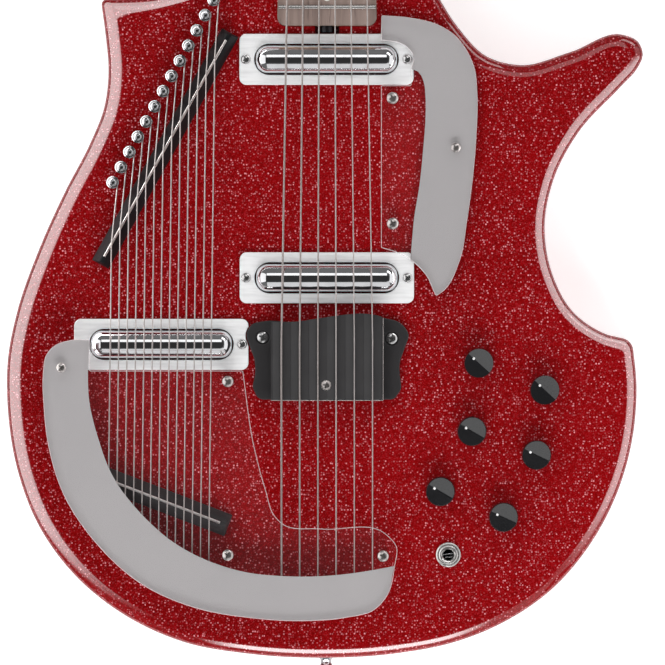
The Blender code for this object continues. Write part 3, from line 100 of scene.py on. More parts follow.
# %% [markdown]
# ## Writing shaders as sums
# A procedural finish is mostly arithmetic on noise. Wrapping a socket in a small class
# with overloaded operators lets the arithmetic be written as it is thought:
# `1 - mask * 0.5` adds the two Math nodes by itself.

# %% A socket that can be used in sums
class Wire:
    """A node socket; every operator on it adds one Math node to its tree."""

    def __init__(self, tree, socket):
        self.tree, self.socket = tree, socket

    def maths(self, operation, *values, clamp=False):
        node = self.tree.nodes.new("ShaderNodeMath")
        node.operation, node.use_clamp = operation, clamp
        for slot, value in zip(node.inputs, values):
            plug(self.tree, slot, value)
        return Wire(self.tree, node.outputs[0])

    def __add__(self, other):
        return self.maths("ADD", self, other)

    __radd__ = __add__

    def __sub__(self, other):
        return self.maths("SUBTRACT", self, other)

    def __rsub__(self, other):
        return self.maths("SUBTRACT", other, self)

    def __mul__(self, other):
        return self.maths("MULTIPLY", self, other)

    __rmul__ = __mul__

    def __pow__(self, other):
        return self.maths("POWER", self, other)

    def __gt__(self, other):
        return self.maths("GREATER_THAN", self, other)

    def clamped(self):
        return self.maths("ADD", self, 0.0, clamp=True)

    def between(self, low, high):
        """0 at low, 1 at high, smooth in between; low may be above high."""
        node = self.tree.nodes.new("ShaderNodeMapRange")
        node.interpolation_type = "SMOOTHSTEP"
        flip = low > high
        for label, value in (("Value", self), ("From Min", min(low, high)),
                             ("From Max", max(low, high))):
            plug(self.tree, node.inputs[label], value)
        node.inputs["To Min"].default_value = float(flip)
        node.inputs["To Max"].default_value = float(not flip)
        return Wire(self.tree, node.outputs[0])


def plug(tree, socket, value):
    """Links a wire to a socket, or sets the socket to a plain value."""
    if isinstance(value, Wire):
        tree.links.new(value.socket, socket)
    elif isinstance(value, tuple) and len(value) == 3 and len(socket.default_value) == 4:
        socket.default_value = (*value, 1.0)
    else:
        socket.default_value = value


# %% [markdown]
# A finish is one material: a Principled shader whose fixed numbers sit on its own sockets,
# and a few helpers for the patterns that vary over the surface. All patterns read Object
# coordinates. Every piece keeps its place in its mesh, so a pattern has one scale in
# metres on the whole instrument.

# %% The finish class
class Finish:
    """A Principled material and the nodes that feed it."""

    def __init__(self, name, **fixed):
        self.material = bpy.data.materials.new(name)
        self.material.use_nodes = True
        self.tree = self.material.node_tree
        self.shader = self.tree.nodes["Principled BSDF"]
        for label, value in fixed.items():
            plug(self.tree, self.shader.inputs[label.replace("_", " ")], value)

    def node(self, kind, output, settings=None, **sockets):
        """Adds a shader node: settings first, then the values or wires of its named sockets."""
        made = self.tree.nodes.new("ShaderNode" + kind)
        for label, value in (settings or {}).items():
            setattr(made, label, value)
        for label, value in sockets.items():
            plug(self.tree, made.inputs[label.replace("_", " ")], value)
        return Wire(self.tree, made.outputs[output])

    def place(self, stretch=(1.0, 1.0, 1.0), turn=0.0):
        """Object coordinates, stretched and turned about Z."""
        here = self.node("TexCoord", "Object")
        return self.node("Mapping", "Vector", Vector=here, Scale=stretch,
                         Rotation=(0.0, 0.0, turn))

    def noise(self, scale, detail=3.0, stretch=(1.0, 1.0, 1.0), turn=0.0):
        return self.node("TexNoise", "Fac", Vector=self.place(stretch, turn),
                         Scale=scale, Detail=detail)

    def mix(self, factor, first, second):
        """Colour first where factor is 0, second where it is 1."""
        made = self.tree.nodes.new("ShaderNodeMix")
        made.data_type = "RGBA"
        for slot, value in zip((made.inputs[0], made.inputs[6], made.inputs[7]),
                               (factor, first, second)):
            plug(self.tree, slot, value)
        return Wire(self.tree, made.outputs[2])

    def feed(self, **sockets):
        for label, value in sockets.items():
            plug(self.tree, self.shader.inputs[label.replace("_", " ")], value)
        return self

    def bump(self, height, depth, strength=1.0):
        """Relief: depth is in metres, from height 0 to height 1."""
        made = self.node("Bump", "Normal", Height=height, Distance=depth,
                         Strength=strength)
        return self.feed(Normal=made)


# %% [markdown]
# ## Metal-flake lacquer
# The body is sprayed with deep red lacquer full of metal flakes, under thick clear gloss.
# A Voronoi pattern gives the flakes: each cell has a centre and a random colour, so the
# distance to the centre cuts out a speck and the colour decides whether it shines and how
# pale it is. The glints are painted: a paler speck in the base colour stands in for the light
# that a tilted metal flake catches, and no flake is tilted. Two sizes of cell give bright
# specks and a finer glitter.
# The clear gloss is the shader's own coat, which stays smooth over the rough flakes.

# %% Red flake lacquer
def flake_layer(finish, cells_per_metre, size, share):
    """(mask, random wire) of one layer of flakes; share is how many of them shine. The random wire
    sets how pale each speck is painted: a painted glint.
    """
    cells = {"Vector": finish.place(), "Scale": cells_per_metre}
    apart = finish.node("TexVoronoi", "Distance", **cells)
    paint = finish.node("TexVoronoi", "Color", **cells)
    chance = finish.node("SeparateColor", "Red", Color=paint)
    glow = finish.node("SeparateColor", "Green", Color=paint)
    return apart.between(size, size * 0.45) * chance.between(1.0 - share, 1.0 - share * 0.8), glow


lacquer = Finish("red_flake_lacquer", Roughness=0.45, Coat_Weight=1.0, Coat_Roughness=0.03,
                 Coat_IOR=1.65, Specular_IOR_Level=0.0)
specks, speck_painted_glint = flake_layer(lacquer, 800.0, 0.50, 0.80)
glitter, glitter_painted_glint = flake_layer(lacquer, 1500.0, 0.60, 0.85)
cloud, grain = lacquer.noise(9.0, 2.0), lacquer.noise(620.0, 2.0)
ground = lacquer.mix((cloud * 0.4 + grain * 0.6).between(0.34, 0.66), (0.185, 0.0002, 0.0008),
                     (0.285, 0.0006, 0.0018))
# Painted glints: each flake's speck is drawn paler by its random number, for the light a tilted flake
# would catch.
fine = lacquer.mix(glitter * (0.10 + glitter_painted_glint * 0.90), ground, (0.44, 0.013, 0.021))
pale = lacquer.mix(speck_painted_glint, (0.50, 0.030, 0.042), (0.94, 0.35, 0.39))
lacquer.feed(Base_Color=lacquer.mix(specks * (0.10 + speck_painted_glint ** 2.2 * 0.90), fine, pale))
print("lacquer:", len(lacquer.tree.nodes), "nodes")

# %% [markdown]
# ## Metals
# Chrome on this instrument is mirror-smooth on the pickup tubes and pins, and finely
# brushed on the pickup surrounds. A stretched noise gives the brushing its direction.
# Screws, frets and strings are plainer steel and nickel with a little dirt. The pins' chrome and one
# nickel are darker copies, painted shade for the dark studio that they reflect, and the wound
# strings are painted darker between their turns, as shade in the grooves.

# %% Chrome, satin chrome, nickel and steel
def cloudy(name, tones, roughness, scale, detail=3.0, stretch=(1.0, 1.0, 1.0), band=(0.3, 0.7),
           **fixed):
    """A finish that drifts between two tones; roughness is where it starts and how far it goes."""
    finish = Finish(name, **fixed)
    cloud = finish.noise(scale, detail, stretch)
    return finish.feed(Base_Color=finish.mix(cloud.between(*band), *tones),
                       Roughness=roughness[0] + roughness[1] * cloud)


def metal(name, colour, roughness, wear=0.04, scale=90.0, stretch=(1.0, 1.0, 1.0), grain=0.0,
          metallic=1.0):
    """A metal whose roughness varies a little, with an optional brushed grain. A blasted plate
    scatters most of its light, so it is given less than the full metallic share."""
    dull = tuple(part * 0.86 for part in colour)
    finish = cloudy(name, (colour, dull), (roughness, wear), scale, 4.0, stretch, (0.35, 0.75),
                    Metallic=metallic)
    if grain:
        finish.bump(finish.noise(scale * 14, 2.0, stretch), grain)
    return finish.material


chrome = metal("chrome", (0.82, 0.82, 0.84), 0.035, 0.05)
satin = metal("satin_chrome", (0.97, 0.97, 0.975), 0.42, 0.12, 60.0, (1.0, 9.0, 9.0), 0.000012,
              metallic=0.1)
nickel = metal("nickel", (0.86, 0.84, 0.82), 0.18, 0.10, 160.0)
string_steel = metal("string_steel", (0.64, 0.59, 0.575), 0.26, 0.10, 240.0)
# A darker copy of chrome for the pins and strap buttons: painted shade for the dark studio their
# domes reflect.
shaded_chrome = metal("shaded_chrome", (0.37, 0.37, 0.38), 0.16, 0.08, 200.0)
screw_steel = metal("screw_steel", (0.74, 0.73, 0.73), 0.15, 0.14, 300.0)
jack_nickel = metal("jack_nickel", (0.86, 0.84, 0.82), 0.24, 0.16, 150.0)
# Near-black steel for the truss rod's nut, deep in its notch: the darkness is painted shade.
shaded_steel = metal("shaded_steel", (0.05, 0.05, 0.055), 0.40, 0.10, 120.0)
# A darker copy of nickel, for the guard screws, the nut's crown wire and the plate's bare edges: its
# darker colour is painted shade, for the dark studio that it reflects.
shaded_nickel = metal("shaded_nickel", (0.72, 0.67, 0.65), 0.20, 0.16, 150.0)
zinc = metal("zinc_plate", (0.58, 0.59, 0.60), 0.34, 0.16, 70.0)

# Wound string: the colour is darker between the turns, painted shade in the grooves; the bump gives
# the turns their relief.
wound = Finish("wound_string", Metallic=1.0, Roughness=0.34)
turns = wound.node("TexWave", "Fac", {"wave_type": "BANDS", "bands_direction": "Y"},
                   Vector=wound.place(), Scale=440.0)
wound.feed(Base_Color=wound.mix(turns, (0.33, 0.29, 0.275), (0.64, 0.585, 0.565)))
wound.bump(turns, 0.00006)
print("metals:", chrome.name, satin.name, nickel.name, string_steel.name, zinc.name)

# %% [markdown]
# ## Woods, bone and pearl
# Wood is a noise stretched along the grain. The fingerboard's grain and pores run along
# the neck (Y), and so do the maple's softer bands. Both get a shallow relief, so that the
# light breaks on the pores.

# %% Rosewood, maple, bone and pearl
rosewood = Finish("rosewood", Specular_IOR_Level=0.35)
streak = rosewood.noise(34.0, 6.0, (6.0, 0.35, 6.0))
pores = rosewood.noise(520.0, 2.0, (3.0, 0.12, 3.0)).between(0.60, 0.72)
board_tone = rosewood.mix(streak.between(0.25, 0.75), (0.215, 0.153, 0.132), (0.350, 0.262, 0.230))
rosewood.feed(Base_Color=rosewood.mix(pores * 0.7, board_tone, (0.09, 0.055, 0.045)),
              Roughness=0.50 + 0.25 * pores)
rosewood.bump(1.0 - pores, 0.00012)

maple = Finish("maple", Coat_Weight=0.6, Coat_Roughness=0.12)
bands = maple.noise(14.0, 5.0, (5.0, 0.25, 5.0))
flecks = maple.noise(300.0, 2.0, (3.0, 0.10, 3.0)).between(0.58, 0.74)
blond = maple.mix(bands.between(0.25, 0.75), (0.66, 0.42, 0.20), (0.50, 0.28, 0.115))
maple.feed(Base_Color=maple.mix(flecks * 0.45, blond, (0.30, 0.15, 0.06)),
           Roughness=0.30 + 0.15 * bands)
maple.bump(flecks, 0.00003)

bone = cloudy("bone", ((0.82, 0.77, 0.66), (0.68, 0.61, 0.49)), (0.35, 0.2), 120.0, 4.0,
              (1.0, 3.0, 1.0), Subsurface_Weight=0.1)
pearl = cloudy("pearl", ((0.86, 0.83, 0.80), (0.66, 0.68, 0.70)), (0.22, 0.1), 260.0,
               band=(0.35, 0.65), Coat_Weight=0.8, Coat_Roughness=0.05)

# %% [markdown]
# ## Plastics and paint
# Black plastic is never quite black: a faint cloud, a satin roughness and a fine orange
# peel keep it from looking cut out. The clear guards are nearly see-through acrylic that
# only adds a thin veil, and their rims catch light. Each guard has a broad band of flat
# grey on its underside.

# %% Black plastics, acrylic, band and paint
def plastic(name, colour, roughness, scale=400.0, relief=0.00002, level=0.5):
    finish = Finish(name, Specular_IOR_Level=level)
    cloud, skin = finish.noise(45.0, 3.0), finish.noise(scale * 3, 3.0)
    light = tuple(part * 1.25 + 0.002 for part in colour)
    finish.feed(Base_Color=finish.mix(cloud.between(0.3, 0.7), colour, light),
                Roughness=roughness + 0.12 * skin)
    finish.bump(skin, relief)
    return finish.material


knob_black = plastic("knob_black", (0.008, 0.008, 0.009), 0.10, level=0.32)
bar_black = plastic("bar_black", (0.005, 0.005, 0.006), 0.36, 300.0, 0.00003, 0.18)
# A lighter copy of the bar black, for the drone bridge bar.
lighter_bar_black = plastic("lighter_bar_black", (0.027, 0.025, 0.026), 0.40, 300.0, 0.00003, 0.26)
bridge_black = plastic("bridge_black", (0.021, 0.0195, 0.0205), 0.40, 500.0, 0.00004, 0.45)
cover_black = plastic("cover_black", (0.022, 0.022, 0.024), 0.50, 200.0, 0.00005)
buzz_black = plastic("buzz_black", (0.030, 0.0285, 0.0295), 0.34, 600.0, 0.00002, 0.34)
insulation = plastic("lead_insulation", (0.030, 0.030, 0.030), 0.55)
dot_white = plastic("dot_white", (0.82, 0.82, 0.82), 0.30)


def clear(name, colour, veil, roughness):
    """See-through acrylic: veil is how much of the light it adds and takes."""
    finish = Finish(name, Roughness=roughness, Base_Color=colour)
    haze = finish.noise(60.0, 3.0)
    finish.feed(Alpha=veil * (0.8 + 0.4 * haze))
    finish.material.surface_render_method = "BLENDED"
    return finish.material


acrylic = clear("clear_acrylic", (0.90, 0.86, 0.90), 0.004, 0.04)
# The rim's faces: a whiter, more opaque copy of the acrylic, a painted highlight for the light the
# sawn rim catches.
acrylic_rim_highlight = clear("acrylic_rim_highlight", (0.98, 0.90, 0.91), 0.45, 0.12)

grey_band = cloudy("grey_band", ((0.395, 0.376, 0.381), (0.410, 0.390, 0.394)), (0.55, 0.1), 25.0,
                   band=(0.2, 0.8), Specular_IOR_Level=0.15)
print("finishes:", len([m for m in bpy.data.materials if m.use_nodes]))
# %% [markdown]
# ## Modelling helpers
# Most pieces are outlines raised to a height or profiles turned about an axis. They are
# written with bmesh, and a Boolean is applied at once so that no cutter is left behind.

# %% Mesh to finished piece
def smooth(mesh, sharp):
    """Smooth shading, but for edges over the angle."""
    mesh.shade_smooth()
    mesh.set_sharp_from_angle(angle=math.radians(sharp))
    return mesh


def piece(name, bm, paint, sharp=35.0):
    """An object at the origin from a bmesh, with its faces pointing out."""
    bmesh.ops.recalc_face_normals(bm, faces=bm.faces)
    mesh = bpy.data.meshes.new(name)
    bm.to_mesh(mesh)
    bm.free()
    mesh.materials.append(paint)
    return placed(name, smooth(mesh, sharp))


def settle(made, sharp=None):
    """Replaces an object's mesh by what its modifiers make of it."""
    graph = bpy.context.evaluated_depsgraph_get()
    mesh = bpy.data.meshes.new_from_object(made.evaluated_get(graph))
    made.modifiers.clear()
    made.data = mesh if sharp is None else smooth(mesh, sharp)
    return made


def carve(made, bm, operation="DIFFERENCE", sharp=35.0):
    """Cuts a shape out of a piece, or joins it on."""
    tool = piece("tool", bm, made.data.materials[0])
    step = made.modifiers.new("carve", "BOOLEAN")
    step.operation, step.solver, step.object = operation, "EXACT", tool
    settle(made, sharp)
    bpy.data.objects.remove(tool, do_unlink=True)


def soften(made, width, segments=2, angle=35.0, sharp=None, harden=True):
    """Rounds the sharp edges a little, as moulding and polishing do."""
    step = made.modifiers.new("soft_edges", "BEVEL")
    step.width, step.segments, step.limit_method = width * MM, segments, "ANGLE"
    step.angle_limit, step.harden_normals = math.radians(angle), harden
    return settle(made, sharp)


def dress(made, slot, *nodes, body="instrument"):
    """Puts a piece on its body and hides the solids it stands for; slot is not used."""
    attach(made, body)
    if nodes:
        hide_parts(*nodes)


def repaint(paint, *nodes):
    """Gives CAD solids a better material; their shape stays."""
    for node in nodes:
        for slot in frame["nodes"][node].material_slots:
            slot.material = paint


# %% Shapes from outlines and profiles
def lerp(a, b, t):
    return a + (b - a) * t


def spread(a, b, count):
    """Evenly spaced numbers from a to b."""
    return [lerp(a, b, k / count) for k in range(count + 1)]


def rounded_outline(knots, inset=0.0, spacing=3.0, corner_steps=6, corner_room=9.5, least=0.2):
    """Closed outline through knots, moved inwards by inset.

    (x, y) is a knot of a smooth curve and (x, y, r) a corner of radius r. A corner's arc
    keeps its centre as the outline moves inwards, so that rounded edges stay even.
    """
    points = [Vector(knot[:2]) for knot in knots]
    radii = [knot[2] if len(knot) == 3 else None for knot in knots]
    count = len(points)
    if sum(points[i].cross(points[(i + 1) % count]) for i in range(count)) < 0:
        points.reverse()
        radii.reverse()

    def chord(i):
        return points[(i + 1) % count] - points[i % count]

    def tangent(i, forward):
        after, before = chord(i), chord(i - 1)
        if radii[i] is not None:
            return (after if forward else before).normalized()
        long, short = before.length, after.length
        return (after / short * long + before / long * short) / (long + short)

    def left(direction):
        return Vector((-direction.y, direction.x)).normalized()

    outline = []
    for i in range(count):
        start, end, length = points[i], points[(i + 1) % count], chord(i).length
        if radii[i] is None:
            outline.append(start + left(tangent(i, True)) * inset)
        else:
            into, out = tangent(i, False), tangent(i, True)
            bend = math.atan2(into.cross(out), into.dot(out))
            side = 1.0 if bend > 0 else -1.0
            radius = max(radii[i] - side * inset, least)
            corner = start + (left(into) + left(out)) / (1.0 + left(into).dot(left(out))) * inset
            arm = left(into) * -side * radius
            centre = corner - into * radius * math.tan(abs(bend) / 2) - arm
            for k in range(corner_steps + 1):
                outline.append(centre + Matrix.Rotation(bend * k / corner_steps, 2) @ arm)
        go, stop = tangent(i, True) * length, tangent((i + 1) % count, False) * length
        pieces = max(1, round(length / spacing))
        for k in range(1, pieces):
            t = k / pieces
            spot = (start * (2 * t ** 3 - 3 * t ** 2 + 1) + go * (t ** 3 - 2 * t ** 2 + t)
                    + end * (3 * t ** 2 - 2 * t ** 3) + stop * (t ** 3 - t ** 2))
            slope = (start * (6 * t ** 2 - 6 * t) + go * (3 * t ** 2 - 4 * t + 1)
                     + end * (6 * t - 6 * t ** 2) + stop * (3 * t ** 2 - 2 * t))
            near = min([length * t] * (radii[i] is not None)
                       + [length * (1 - t)] * (radii[(i + 1) % count] is not None) + [math.inf])
            if near > corner_room:
                outline.append(spot + left(slope) * inset)
    return outline


def loft(bm, rings):
    """Skins a stack of rings of equal count and closes both ends."""
    loops = [[bm.verts.new(Vector(point) * MM) for point in ring] for ring in rings]
    for low, high in zip(loops, loops[1:]):
        for i in range(len(low)):
            j = (i + 1) % len(low)
            bm.faces.new((low[i], low[j], high[j], high[i]))
    bm.faces.new(list(reversed(loops[0])))
    bm.faces.new(loops[-1])
    return bm


def raised(outline, z):
    return [(*spot, z) for spot in outline]


def prism(outline, bottom, top, bm=None):
    """An outline raised from one height to another."""
    return loft(bm or bmesh.new(), [raised(outline, z) for z in (bottom, top)])


def turned(profile, steps=32, at=(0.0, 0.0), turn=Matrix.Identity(3), bm=None, bored=False):
    """Turns a profile of (radius, height) about an axis; bored closes it round a hole."""
    bm = bm or bmesh.new()
    middle = Vector((*at, 0.0)[:3])
    rings = []
    for radius, height in profile:
        angles = [2 * math.pi * (k + 0.5) / steps for k in range(steps)] if radius else [0.0]
        rings.append([bm.verts.new((middle + turn @ Vector(
            (radius * math.cos(a), radius * math.sin(a), height))) * MM) for a in angles])
    for low, high in list(zip(rings, rings[1:])) + [(rings[-1], rings[0])] * bored:
        for k in range(steps):
            corners = [low[k % len(low)], low[(k + 1) % len(low)],
                       high[(k + 1) % len(high)], high[k % len(high)]]
            bm.faces.new(list(dict.fromkeys(corners)))
    for end in (rings[0], rings[-1]):
        if len(end) > 1 and not bored:
            bm.faces.new(end)
    return bm


def peg(radius, low, high, at, steps=32, **more):
    """A plain cylinder from one height to another."""
    return turned([(radius, low), (radius, high)], steps, at, **more)


def stadium(centre, length, width, corner=None, steps=12):
    """A rectangle along X with round corners, or with round ends if no corner is given."""
    radius = width / 2 if corner is None else corner
    spots = []
    for sx, sy, start in ((1, 1, 0), (-1, 1, 90), (-1, -1, 180), (1, -1, 270)):
        middle = Vector((sx * (length / 2 - radius), sy * (width / 2 - radius))) + Vector(centre)
        for k in range(steps + 1):
            a = math.radians(start + 90 * k / steps)
            spots.append(middle + Vector((math.cos(a), math.sin(a))) * radius)
    return [s for i, s in enumerate(spots) if (s - spots[i - 1]).length > 0.01]


def quarter(width, steps, depth=None):
    """A rounded edge as (inset, drop) pairs, from the flat face down to the side."""
    turns = [math.radians(90) * k / steps for k in range(steps + 1)]
    return [(width * (1 - math.sin(a)), (depth or width) * (1 - math.cos(a))) for a in turns]


def footprint(ends, half, short=0.0):
    """The four corners of a straight strip between two places."""
    a, b = (Vector(end) for end in ends)
    run = (b - a).normalized()
    side, cut = Vector((-run.y, run.x)) * half, run * short
    return [a + cut - side, b - cut - side, b - cut + side, a + cut + side]


# %% [markdown]
# ## The body
# The body is a routed slab with every edge rounded over, softly on the flat side and
# quickly at the rim: the pink band of light along the left edge is that wide. The CAD
# solid has the same outline with few faces, and its straight steps would show on the
# horn. So the outline's knots are repeated here with closer steps and thirteen rings in
# the rounded edge, and the same routes, pockets and holes are cut.

# %% Body shell
BODY_OUTLINE = (
    (-128.0, 193.5, 3.4), (-125.2, 172.8), (-123.6, 152.5), (-126.0, 132.4), (-133.9, 112.2),
    (-148.0, 85.0), (-163.3, 51.0), (-175.2, 17.1), (-180.5, -10.1), (-180.6, -37.4),
    (-175.4, -71.4), (-162.3, -105.5), (-141.9, -132.9), (-116.4, -153.5), (-81.2, -169.9),
    (-43.6, -176.7), (-1.7, -178.9), (43.6, -175.8), (70.8, -170.4), (97.1, -160.2),
    (127.4, -139.9), (150.2, -112.6), (164.3, -85.1), (172.2, -57.8), (175.1, -27.1),
    (172.8, 0.7, 7.5), (159.0, 3.8), (138.8, 17.2), (127.7, 37.5), (123.1, 64.4), (128.0, 91.2),
    (142.0, 118.0), (167.0, 145.0), (175.7, 154.7), (178.7, 162.2), (175.8, 169.8),
    (167.0, 173.6), (137.6, 163.8), (109.0, 156.4), (90.5, 161.2), (74.0, 177.9), (60.6, 198.9),
    (47.9, 218.3), (33.6, 240.0, 3.0), (-32.6, 240.0, 3.0), (-42.9, 222.9), (-64.1, 206.2),
    (-91.6, 196.5))
CONTROL_OUTLINE = (
    (72.0, 3.0, 8.0), (112.0, -8.0, 9.0), (138.0, -22.0, 9.0), (134.0, -84.0, 12.0),
    (98.0, -136.0, 12.0), (50.0, -137.0, 12.0), (48.0, -74.0, 9.0), (66.0, -40.0, 20.0))
KNOBS = ((85.7, -12.2, 138.0), (122.9, -27.4, 137.0), (81.8, -50.7, 150.0),
         (118.2, -64.1, 154.5), (64.0, -84.7, 150.0), (99.6, -99.2, 155.5))
PICKUPS = {"neck": (-0.3, 159.4), "middle": (-0.1, 36.0), "drone": (-93.6, -1.6)}
PINS = [(-121.0 + 4.75 * k, 89.8 + 8.58 * k) for k in range(13)]
JACK = (68.5, -120.5)
BACK_RECESS, CAVITY_TOP, NECK_END = 2.1, 33.0, 178.4
SEAT = 38.3                     # underside of what sits on the body's face
CLEAR = 60.0                    # above everything that a cut passes through
UNDIVIDED = 1000.0              # a spacing longer than any side
heel_low, heel_high = (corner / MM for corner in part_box("neck_plate"))
heel_middle = (heel_low.y + heel_high.y) / 2


def body_outline(inset=0.0):
    return rounded_outline(BODY_OUTLINE, inset, corner_room=13, least=3)


def heel_outline(larger, steps):
    return stadium((0.0, heel_middle), heel_high.x - heel_low.x + larger,
                   heel_high.y - heel_low.y + larger, 4, steps)


edge = quarter(9.0, 12, 5.0)
rings = edge + [(inset, BODY_TOP - drop) for inset, drop in reversed(edge)]
shell = piece("body_shell", loft(bmesh.new(), [raised(body_outline(inset), z) for inset, z in rings]),
              lacquer.material)
carve(shell, prism(rounded_outline(((-28.3, 178.1, 5.1), (28.3, 178.1, 5.1), (26.2, 250.0, 0.5),
                                    (-26.2, 250.0, 0.5))), 22, CLEAR))
carve(shell, prism(stadium((0.0, NECK_END), 13.8, 9.0, 0.6, 2), 28, CLEAR))
cuts = bmesh.new()
for centre in PICKUPS.values():
    prism(stadium(centre, 82, 17.9, 4, 3), 27, CLEAR, cuts)
for pin in PINS:
    peg(2.8, 14.1, CLEAR, pin, 12, bm=cuts)
for x, y, radius in [(x, y, 4.2) for x, y, _ in KNOBS] + [(*JACK, 5.3)]:
    peg(radius, CAVITY_TOP - 1, CLEAR, (x, y), 24, bm=cuts)
carve(shell, cuts)
cuts = prism(rounded_outline(CONTROL_OUTLINE, -4.8, UNDIVIDED), -10, BACK_RECESS)
carve(shell, prism(heel_outline(0.6, 4), -10, BACK_RECESS, cuts))
carve(shell, prism(rounded_outline(CONTROL_OUTLINE, 0.0, UNDIVIDED), -10, CAVITY_TOP))
print("body shell:", len(shell.data.polygons), "faces")

# %% [markdown]
# The two strap buttons are screwed into the rim, square to the outline. Their axes come
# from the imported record's mounts, so the holes and the buttons agree with the solids.

# %% Strap buttons and their holes
def along(axis):
    """A matrix whose Z axis points along the given direction."""
    return Vector(axis).to_track_quat("Z", "Y").to_matrix()


BUTTON = ((4.0, 12.5), (5.4, 12.5), (6.1, 11.9), (6.2, 11.2), (6.0, 10.2), (5.5, 8.8), (4.8, 7.0),
          (3.9, 5.2), (3.2, 3.8), (3.0, 2.6), (3.1, 1.6), (3.5, 0.8), (3.9, 0.3), (1.7, 0.3),
          (1.7, -22.0), (0.0, -22.0))
for mount in frame["record"]["mounts"]:
    if mount["name"].endswith("strap_button"):
        side = mount["name"].split("_")[0]
        outward = Vector(mount["axis"])
        seat = Vector(mount["pos_m"]) / MM - outward * BUTTON[0][1]
        carve(shell, peg(2.0, 10, -22.3, seat, 16, turn=along(outward)))
        button = piece(f"button_{side}", turned(BUTTON, 48, seat, along(outward)), shaded_chrome)
        dress(button, "chrome", f"strap_button_{side}")
dress(shell, "body_lacquer", "body")

# %% [markdown]
# ## Neck and headstock
# The neck's solid already has the right taper, heel and headstock, so it stays and only
# gets its maple. The board is rebuilt, because its camber and its rounded end show in the
# photograph and need closer steps. All widths follow one straight taper.

# %% Neck, nut, board and inlays
SCALE = NUT_Y = 635.0
BOARD_LOW, BOARD_TOP, CAMBER = 40.8, 46.8, 300.0


def neck_width(y):
    return lerp(56.0, 42.0, (y - NECK_END) / (NUT_Y - NECK_END))


def camber(x):
    return math.sqrt(CAMBER ** 2 - x * x) - CAMBER


repaint(maple.material, "neck")
repaint(bone.material, "string_nut")
# The truss rod's nut gets near-black steel, painted shade for its notch.
repaint(shaded_steel, "truss_rod")
stations = [(NECK_END + inset, 28.0 - drop) for inset, drop in reversed(quarter(4.8, 10))]
stations += [(y, neck_width(y) / 2) for y in spread(stations[-1][0], NUT_Y - 0.3, 12)[1:]]
board = piece("board", loft(bmesh.new(), [
    [(-half, y, BOARD_LOW), (half, y, BOARD_LOW)]
    + [(x, y, BOARD_TOP + camber(x)) for x in spread(half, -half, 16)]
    for y, half in stations]), rosewood.material)
dress(soften(board, 0.35, 3, 40), "rosewood", "fingerboard")

inlays = bmesh.new()
for n in (3, 5, 7, 9, 12, 12.5, 15, 17, 19, 21):
    number = int(n)
    y = SCALE * (2 ** (-number / 12) + 2 ** (-(number - 1) / 12)) / 2
    x = (n - number) * 24 - (number == 12) * 6
    top = BOARD_TOP + camber(x)
    turned([(2.3, top - 1), (2.3, top + 0.02), (2.1, top + 0.06), (0.0, top + 0.07)], 32, (x, y),
           bm=inlays)
dress(piece("inlay_dots", inlays, pearl.material), "bone")

# %% [markdown]
# ## Growing what repeats
# Frets, screws, strings and wires repeat one form, so Geometry Nodes make them. A base
# mesh carries only points or lines with a few named numbers, and a tree turns each point
# into a finished form. The result is read back as a plain mesh and the modifier is gone.
# The trees themselves work in metres.

# %% A tree with named inputs
class Tree:
    """A Geometry Nodes tree, built node by node, that ends in one material."""

    def __init__(self, name, **sizes):
        self.tree = bpy.data.node_groups.new(name, "GeometryNodeTree")
        face = self.tree.interface
        face.new_socket("Geometry", in_out="INPUT", socket_type="NodeSocketGeometry")
        face.new_socket("Geometry", in_out="OUTPUT", socket_type="NodeSocketGeometry")
        self.ids = {}
        for label, value in sizes.items():
            kind = "NodeSocketInt" if isinstance(value, int) else "NodeSocketFloat"
            socket = face.new_socket(label, in_out="INPUT", socket_type=kind)
            socket.default_value = value
            self.ids[label] = socket.identifier
        self.given = self.tree.nodes.new("NodeGroupInput")

    def size(self, label):
        return Wire(self.tree, self.given.outputs[label])

    def add(self, kind, output=0, settings=None, **sockets):
        """Adds a node; a list feeds one socket that takes several links."""
        made = self.tree.nodes.new(kind if kind.startswith("Shader") else "GeometryNode" + kind)
        for label, value in (settings or {}).items():
            setattr(made, label, value)
        for label, value in sockets.items():
            for one in value if isinstance(value, list) else [value]:
                plug(self.tree, made.inputs[label.replace("_", " ")], one)
        return Wire(self.tree, made.outputs[output])

    def vector(self, **parts):
        return self.add("ShaderNodeCombineXYZ", **parts)

    def place(self, axis):
        """One coordinate of each vertex or point."""
        return self.add("ShaderNodeSeparateXYZ", axis, Vector=self.add("InputPosition"))

    def point_value(self, name):
        return self.add("InputNamedAttribute", 0, {"data_type": "FLOAT"}, Name=name)

    def close(self, geometry, paint):
        """Ends the tree: real geometry with its material."""
        real = self.add("RealizeInstances", Geometry=geometry)
        painted = self.add("SetMaterial", Geometry=real, Material=paint)
        result = self.tree.nodes.new("NodeGroupOutput")
        self.tree.links.new(painted.socket, result.inputs[0])


def seeds(name, spots, edges=(), **values):
    """A mesh of points (and lines) whose named numbers a tree can read."""
    mesh = bpy.data.meshes.new(name)
    mesh.from_pydata([Vector(spot) * MM for spot in spots], list(edges), [])
    for label, column in values.items():
        mesh.attributes.new(label, "FLOAT", "POINT").data.foreach_set("value", column)
    return placed(name, mesh)


def grow(made, tree, sharp=35.0, paint=None, **sizes):
    """Runs a tree on an object and keeps the plain mesh, repainted if a paint is given."""
    step = made.modifiers.new("grow", "NODES")
    step.node_group = tree.tree
    for label, value in sizes.items():
        step[tree.ids[label]] = value
    settle(made, sharp)
    if paint:
        made.data.materials.clear()
        made.data.materials.append(paint)
    return made


# %% [markdown]
# Fret wire is nickel bar with a rounded crown, pressed into the board and bent to its
# camber. The tree puts a straight crowned bar on each point, as long as the point says,
# makes it real, and then lets every vertex drop by the board's camber at its own x.

